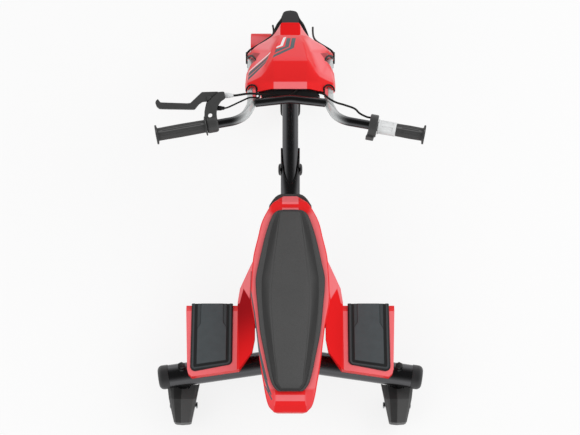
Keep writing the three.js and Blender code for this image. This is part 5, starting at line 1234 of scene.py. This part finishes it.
def sleeveRings(start):
    # A turned sleeve with four rounded recesses: each is a smooth step in angle times one in length
    length, rim, radius, bore = (sleeve[key] for key in ("length", "rim", "radius", "bore"))
    corners = [[bore, 0], [rim, 0], [rim, sleeve["rimWidth"]], [radius, sleeve["rimWidth"] + 0.8]]
    corners += [[radius, length], [bore, length], [bore, 0.001]]
    profile = denseProfile(softProfile(corners, [0.6, 0.6, 0.5, 1.0, 0.3], 5), 160)
    rings = turnedRings(profile, start, barOut, 140, barFore * 0.02 + [0, 0, 1])
    radial = rings - (np.asarray(start) + profile[:, 1, None] * barOut)[:, None]
    angle = np.degrees(np.arctan2(radial @ barFore, radial[..., 2]))
    ends = 1 - rise(np.abs(profile[:, 1, None] - sleeve["middle"]), 12.4, 13.2)
    dent = 0
    for middle in sleeve["angles"]:
        gap = np.abs((angle - middle + 180) % 360 - 180) * math.pi / 180 * radius
        dent = dent + (1 - rise(gap, 4.6, 5.4)) * ends
    scale = 1 - np.where(profile[:, 0, None] > 14, dent * sleeve["recess"] / radius, 0)
    return scaledRings(rings, profile, start, scale)


def buildGrips():
    sleeveStart = bar["inner"] - sleeve["inset"] + housing["width"] + 0.8
    gripStart = sleeveStart + (sleeve["length"] + 0.4) * math.cos(barSweep)
    for (side, name, end), inner in zip(sides, (bar["inner"], gripStart)):
        length = (bar["outer"] - inner) / math.cos(barSweep) + 0.3
        rings = gripRings(barAt(inner), length, side < 0) * [side, 1, 1]
        piece = gridPiece("grip" + end, rings, gripRubber, caps=False)
        settle(piece, stands=["grip_" + name], slot="black_rubber")
    twist = gridPiece("twistSleeve", sleeveRings(barAt(sleeveStart)), sleeveGrey, caps=False)
    settle(twist, "throttle", ["throttle_sleeve"], "grey_plastic")


# The throttle's round housing, with a foot that flares inwards behind the bar
housing = {
    "width": 20.0, "radius": 27.5, "footDrop": 19.0, "footHeight": 20.0,
    "foot": [[-4.5, -32], [15.5, -32], [17.5, -16], [-0.5, -16], [-1.5, -25]],
}


def buildHousing():
    start = barAt(bar["inner"] - sleeve["inset"])
    radius, width, bore = housing["radius"], housing["width"], grip["bore"]
    corners = [[bore, 0], [radius, 0], [radius, width], [bore, width], [bore, 0.001]]
    piece = turnedPiece("throttleHousing", corners, [3, 3, 0.4], start, barOut, 72, satin, 8)
    settle(piece, stands=["throttle_housing"])
    place = (start - [0, 0, housing["footDrop"]], (barOut, barFore), housing["footHeight"])
    plate("housingFoot", roundedOutline(housing["foot"], 2.0), *place, satin, 1.2)


buildGrips()
print("stage: grips built")

# Front tyre: a rounded section whose tread blocks stand up by a product of waves round and across it
tyre = {
    "outer": 140.0, "inner": 112.3, "half": 28.0, "blocks": 44, "depth": 2.2, "skew": 5.0,
    "groove": (0.16, 0.24), "channel": 0.2,
    "section": [[0, 0.7], [0.06, 0.86], [0.3, 1], [0.55, 0.97], [0.75, 0.84], [0.88, 0.64], [0.96, 0.4],
        [1, 0.14]],
}


def buildTyre():
    turn = np.linspace(0, 2 * math.pi, tyre["blocks"] * 10, endpoint=False)
    half = denseProfile(np.array(tyre["section"]), 26)
    shape = np.vstack([half * [1, -1], half[::-1]])
    out, across = shape[:, 0, None], shape[:, 1, None]
    wave = np.cos(turn[None, :] * tyre["blocks"] + across * tyre["skew"])
    groove = rise(-wave, 0.55, 0.9) * rise(np.abs(across), *tyre["groove"])
    channel = 1 - rise(np.abs(np.abs(across) - tyre["channel"]), 0.03, 0.07)
    dent = rise(out, 0.6, 0.78) * tyre["depth"] * np.maximum(groove, 0.8 * channel + 0 * wave)
    radius = tyre["inner"] + (tyre["outer"] - tyre["inner"]) * out - dent
    y = trike["wheelbase"] + radius * np.cos(turn)
    grid = halfGrid(across * tyre["half"], y, trike["wheelRadius"] + radius * np.sin(turn))
    piece = gridPiece("frontTyre", np.concatenate([grid, grid[:1]]), tyreRubber, caps=False, sharp=50)
    settle(piece, "front_wheel", ["front_tyre"], "tyre")


buildTyre()


# Cables, as smooth tubes through the CAD source's points, and the cut-off switch's stub
def controlAt(across, ahead, height):
    return np.array([across - bar["inner"], bar["reach"] + ahead, barHeight + height])


def cableDown(along):
    return steerPoint(83.2, 28, along)


brakeStart, cutoffStart = controlAt(43.8, 82, -2), controlAt(28.4, 48, -2)
throttleStart = barAt(bar["inner"] - sleeve["inset"]) + barFore * 20 - barOut * 0.3
cables = {
    "brake": [
        brakeStart + [13.1, 0, 0], brakeStart + [24, 0, 0], [-122, 544, 598], [-100, 549, 594],
        [-62, 552.5, 580], [-30, 554, 570.5], [-10, 555, 568.6], [6, 560, 568.5], [14, 568, 568.7],
        [22, 594, 569], [34, 625, 558], [56, 665, 535], [74, 700, 503], steerPoint(83.2, 12, 344),
        steerPoint(83.2, 27, 316), cableDown(298), cableDown(180), cableDown(74.3),
    ],
    "cutoff": [
        cutoffStart + [7.2, 0, 0], [-156, 508.5, 598.5], [-142, 514, 600], [-122.7, 526, 596],
        [-98.7, 541, 588], [-80, 547.5, 573], [-77, 552, 566], [-76, 566, 562],
    ],
    "throttle": [
        throttleStart, throttleStart - barOut * 8, [168.3, 492.5, 602], [157.3, 503.7, 603],
        [132.5, 516.9, 597], [112, 527, 590], [94, 541, 584], [84, 554, 578], [74.5, 566, 560],
    ],
    "stub": [[0, -6], [6, -6], [6, 4.6], [4.6, 9], [4, 14], [1.5, 14.5]],
}


cableRadius = {"brake": 2.8, "wire": 1.1, "cutoff": 2.1, "throttle": 2.5}


def buildCable(name, key, steps, count, node):
    piece = tubePiece(name, splineRoute(cables[key], steps), cableRadius[key], count, jacket)
    settle(piece, stands=[node], slot="jacket")


buildCable("brakeCable", "brake", 220, 16, "brake_cable")
wire = np.array([cableDown(82), cableDown(8)])
settle(tubePiece("brakeWire", wire, cableRadius["wire"], 12, steel), slot="steel")
buildCable("cutoffWire", "cutoff", 90, 14, "cutoff_switch")
stub = (cables["stub"], [0.8, 1.2, 2, 1], cutoffStart, (1, 0, 0), 32, gloss)
settle(turnedPiece("cutoffStub", *stub, caps=True), slot="jacket")
buildCable("throttleWire", "throttle", 90, 14, "throttle_wire")
print("stage: cables built")

# Caster hoods: a ridged cap laid over each CAD hood, by rows of distance along, height out and half width
hood = {
    "rows": [[31.4, -34.9, 42.0], [63.7, -4.6, 35.4], [96, -5.2, 29.0], [126, -9, 22.8],
        [134.9, -33.1, 21.0]],
    "across": [-1.02, -1.02, -0.8, -0.06, 0.8, 1.02, 1.02],
    "lift": [-8.2, -5.4, 1.2, 8.6, 1.2, -5.4, -8.2], "bulge": [0, 0, 1.2, 2.2, 1.2, 0, 0],
    "flare": [0, 0, 0, 0.3, 1], "tilt": 42.0,
}


def hoodFinish(side, end):
    # Textured black plastic with painted shade: darker on the half of the roof that looks to the left,
    # away from the key lamp
    shader = Shader("hoodBlack" + end, {"Specular IOR Level": 0.45})
    middle = side * (rear["halfSpan"] - casters["inset"])
    ridge = middle - 2.4
    outline = [[middle - 28.5, -20], [ridge, -20], [ridge - 1, -175], [middle - 16.5, -175]]
    paint = shader.blend(shader.insidePolygon(outline, 0.7), "4b4b4b", "272727")
    base = shader.blend(0.3 * shader.noise(60.0), paint, "4a4a4a")
    return shader.skin(base, (0.4, 0.12, 25.0), plasticGrain)


def buildHoodCaps():
    # Across each row the cap is a low roof: a ridge, two slopes, and two steeper edges
    along, out, half = (np.array(hood["rows"])[:, i, None] for i in range(3))
    across, lift, bulge = (np.array([hood[key]]) for key in ("across", "lift", "bulge"))
    flare = np.array(hood["flare"])[:, None]
    away = along + flare * bulge
    height = out + lift * (1 - 0.45 * flare)
    tilt = math.radians(hood["tilt"])
    ahead = -away * math.cos(tilt) - height * math.sin(tilt)
    up = height * math.cos(tilt) - away * math.sin(tilt)
    for side, name, end in sides:
        place = casterPoint(side, across * half, ahead, up)
        cap = gridPiece("hoodCap" + end, place, hoodFinish(side, end), sharp=16)
        settle(softEdges(cap, 0.8, 2, 16), "caster_" + name)


buildHoodCaps()

# Front mudguard: a beak whose front edge is round in plan, with a grey top facet and black sides of
# painted shade
beak = {
    "back": 792.0, "length": 131.6, "halfWidth": 56.0, "base": 320.0, "depth": 46.0, "wall": 3.0,
    "rows": [[0, 0.429, 1, 1, 0.304], [0.365, 0.411, 0.72, 0.911, 0.13],
        [0.691, 0.393, 0.5, 0.679, 0.03], [0.84, 0.386, 0.41, 0.46, 0.04],
        [0.92, 0.33, 0.33, 0.38, 0.06], [0.96, 0.25, 0.26, 0.29, 0.08], [0.985, 0.15, 0.19, 0.18, 0.1],
        [1, 0.03, 0.13, 0.05, 0.1]],
    "stations": 60,
    "facet": [[21, 780], [23.5, 840], [22, 900], [19, 912], [12, 930], [-9, 930], [-9, 780]],
}


def beakFinish():
    # Dark grey on the top facet, and black on the sides as painted shade
    shader = Shader("beakBlack", {"Specular IOR Level": 0.04})
    base = shader.blend(shader.insidePolygon(beak["facet"], 0.8, True), "080808", "414142")
    return shader.skin(base, (0.5, 0.1, 25.0), plasticGrain)


def buildMudguard():
    # Across each station: a crowned facet, a soft corner, and a side that falls to the edge
    rows = smoothRows(beak["rows"], beak["stations"])
    along, facet, high, edge, low = (rows[:, i, None] for i in range(5))
    top, foot = (beak["base"] + part * beak["depth"] for part in (high, low))
    out = np.hstack([facet * [[0, 0.35, 0.7, 0.93, 1]], facet + (edge - facet) * [[0.06, 0.3, 0.65, 1]]])
    crown = 1.5 * (1 - np.array([[0, 0.12, 0.5, 0.87, 1.05]]))
    z = np.hstack([top + crown, top + (foot - top) * [[0.1, 0.36, 0.7, 1]]])
    grid = wholeGrid(halfGrid(out * beak["halfWidth"], beak["back"] + along * beak["length"], z))
    piece = gridPiece("mudguardBeak", grid, beakFinish(), closed=False, caps=False, sharp=28)
    openShell(piece, beak["wall"])
    settle(piece, stands=["front_mudguard"])


# Brake bracket: two plates with the lever between them, and a soft collar round the bar
bracket = {
    "cover": [[-202.8, 515.6], [-181, 540.5], [-172.2, 544.6], [-160.1, 545.6], [-157.4, 527.8],
        [-168, 519.7], [-176.1, 506.4], [-178.7, 493.2], [-177.5, 476], [-173, 462], [-203.5, 459],
        [-207.1, 479], [-207.9, 491.2]],
    "lower": [[-203.8, 522.3], [-190, 536], [-173.6, 548], [-160.7, 549], [-159.5, 537.8],
        [-172.2, 524.4], [-178.4, 506], [-179.2, 495.9], [-177, 472], [-207, 476], [-208.6, 483.7],
        [-208.2, 499.9]],
    "shadowLine": [[-205.6, 500], [-202.8, 515.6], [-190, 530.2], [-179, 541.4], [-174.4, 543.6]],
    "corner": 5.0, "coverLow": 610.9, "coverHigh": 613.8, "lowerLow": 594.0, "lowerHigh": 602.0,
    "hole": [-194.2, 483.1, 612.0], "holeRadius": 5.5, "collar": [-202, -174.5], "collarRadius": 19.0,
}
lever = {
    "outline": [[-322, 527.6], [-326.6, 523.2], [-328, 517.5], [-324.5, 508], [-318, 502.6], [-309, 502],
        [-232, 500.6], [-221.8, 515.1], [-213, 521.6], [-200, 522.4], [-192, 524], [-176.5, 540],
        [-176.5, 547.4], [-215.5, 546.2], [-242.8, 517], [-250, 516], [-315.3, 518.5]],
    "radii": [1.5, 2.5, 4, 5, 4, 8, 6, 9, 6, 4, 4, 1.5, 1.5, 6, 3, 3, 2], "low": 602.6, "thickness": 7.6,
}


def buildBracket():
    # The hole through both plates leans as the line of sight does, so it shows what lies behind
    slope = math.radians(90 - view["elevation"])
    sight = np.array([0, math.sin(slope), -math.cos(slope)])
    hole = np.array(bracket["hole"])
    path = np.array([hole - 60 * sight, hole + 60 * sight])
    plates = (("bracketCover", "cover", []), ("bracketPlate", "lower", ["brake_bracket"]))
    for name, key, stands in plates:
        low, high = bracket[key + "Low"], bracket[key + "High"]
        outline = roundedOutline(bracket[key], bracket["corner"])
        piece = prismPiece(name, outline, (0, 0, low), plan, high - low, satin)
        cutAway(piece, [tubePiece("cutHole", path, bracket["holeRadius"], 32, satin, (1, 0, 0))])
        settle(softEdges(piece, 1.0), stands=stands)
    # A thin black bead along the cover's left edge paints the shadow line between the cover and the lever
    edge = [[*corner, bracket["coverHigh"] - 0.4] for corner in bracket["shadowLine"]]
    settle(tubePiece("coverShadowLine", bentRoute(edge, [6] * 3, 6), 1.0, 10, jacket))
    outer, start = (barAt(x) for x in bracket["collar"])
    length = float(np.linalg.norm(outer - start))
    radius, bore = bracket["collarRadius"], grip["bore"]
    corners = [[bore, 0], [radius - 1, 0], [radius, 8], [radius, length - 4], [radius - 1.2, length]]
    corners += [[bore, length], [bore, 0.001]]
    collar = (corners, [6, 8, 6, 3, 0.4], start, outer - start, 56, satin, 8)
    settle(turnedPiece("bracketCollar", *collar))


def buildLever():
    # A flat bent blade with rounded corners
    outline = roundedOutline(lever["outline"], lever["radii"])
    place = (outline, (0, 0, lever["low"]), plan, lever["thickness"], satin, 1.6, 3)
    plate("brakeLever", *place, body="lever", stands=["brake_lever"])


buildMudguard()
buildBracket()
buildLever()
buildHousing()
print("stage: hoods, mudguard and bracket built")

# CAD nodes that stay, each with its finish and the width of its rounded edges; | is left, then right
finishes = {
    "frame_bolt": (gloss, 0.5), "bolt_cap_right": (gloss, 0.5), "kingpin_|": (gloss, 0.4),
    "caster_hood_|": (satin, 1.6), "caster_axle_|": (steel, 0.4), "caster_wheel_|": (rollerRubber, 0.8),
    "headset_cup_upper": (steel, 0.4), "headset_cup_lower": (steel, 0.4), "steering_stem": (chrome, 0.8),
    "crown_upper": (chrome, 0.8), "front_rim": (satin, 0.8), "front_axle": (steel, 0.4),
    "drive_gear": (satin, 0.2), "motor_pinion": (steel, 0.2), "motor": (steel, 1.2),
    "drive_cover": (red, 1.4),
    "brake_drum": (alloy, 0.8), "brake_backplate": (satin, 0.6), "brake_arm": (steel, 0.4),
    "dash_panel": (dashBlack, 1.0), "power_button": (gloss, 0.4), "lever_pin": (satin, 0.3),
    "cable_adjuster": (sleeveGrey, 0.4), "seat_base": (satin, 1.4), "battery_pack": (batteryGrey, 1.0),
    "foot_board_|": (boardRed, 2.0), "board_strut_|": (chrome, 0.5),
}
for name, (finish, width) in finishes.items():
    for end in ("left", "right") if "|" in name else ("",):
        dressNode(name.replace("|", end), finish, width)
print("stage: CAD nodes finished")

# Light: a soft lamp from high on the right, a weaker one from the left, and a pale surround
light = {
    "world": 0.72, "horizon": 1.25, "zenith": 0.06, "key": ((2.6, 0.5, 2.6), 2.2, 38.0),
    "fill": ((-2.2, -1.2, 2.6), 2.0, 21.0), "aim": (0, 0, 0.2), "floor": 14.0,
}


def addLamp(name, place, size, power):
    lamp = bpy.data.lights.new(name, "AREA")
    lamp.shape = "SQUARE"
    lamp.size = size
    lamp.energy = power
    made = addObject(name, lamp)
    made.location = place
    made.rotation_euler = (Vector(light["aim"]) - Vector(place)).to_track_quat("-Z", "Y").to_euler()
    made.visible_glossy = False


def rays(shader, *kinds):
    return (shader.node("ShaderNodeLightPath", output="Is " + kind + " Ray") for kind in kinds)


def addWorld():
    # White to the camera, pale to diffuse light, and for reflections bright low down and dark overhead
    world = bpy.context.scene.world = bpy.data.worlds.new("surround")
    shader = Shader("surround", {"Color": (1, 1, 1, 1)}, world)
    height = shader.place.part("Z").ramp(-0.1, 0.9, light["horizon"], light["zenith"])
    glossy, camera = rays(shader, "Glossy", "Camera")
    shine = shader.node("ShaderNodeMix", inputs={0: glossy, 2: light["world"], 3: height})
    shader.set("Strength", shader.node("ShaderNodeMix", inputs={0: camera, 2: shine, 3: 1.0}))


def addFloor():
    # A pale plain floor, lit mostly by itself for the camera, so it stays white with a soft shadow
    size = light["floor"]
    mesh = bpy.data.meshes.new("floor")
    corners = [(-size, -size, 0), (size, -size, 0), (size, size, 0), (-size, size, 0)]
    mesh.from_pydata(corners, [], [(0, 1, 2, 3)])
    floor = addObject("floor", mesh)
    shader = Shader("floorWhite", {"Base Color": (0.86, 0.86, 0.86, 1.0), "Roughness": 0.9})
    glow = shader.node("ShaderNodeEmission", inputs={"Color": (1, 1, 1, 1), "Strength": 1.0})
    camera, glossy = rays(shader, "Camera", "Glossy")
    surface = Wire(shader, shader.surface.outputs[0])
    mix = shader.node("ShaderNodeMixShader", inputs={0: 0.82 * camera.most(glossy), 1: surface, 2: glow})
    shader.plug(shader.tree.nodes["Material Output"].inputs["Surface"], mix)
    mesh.materials.append(shader.material)


addLamp("keyLamp", *light["key"])
addLamp("fillLamp", *light["fill"])
addWorld()
addFloor()
print("stage: light and floor set")
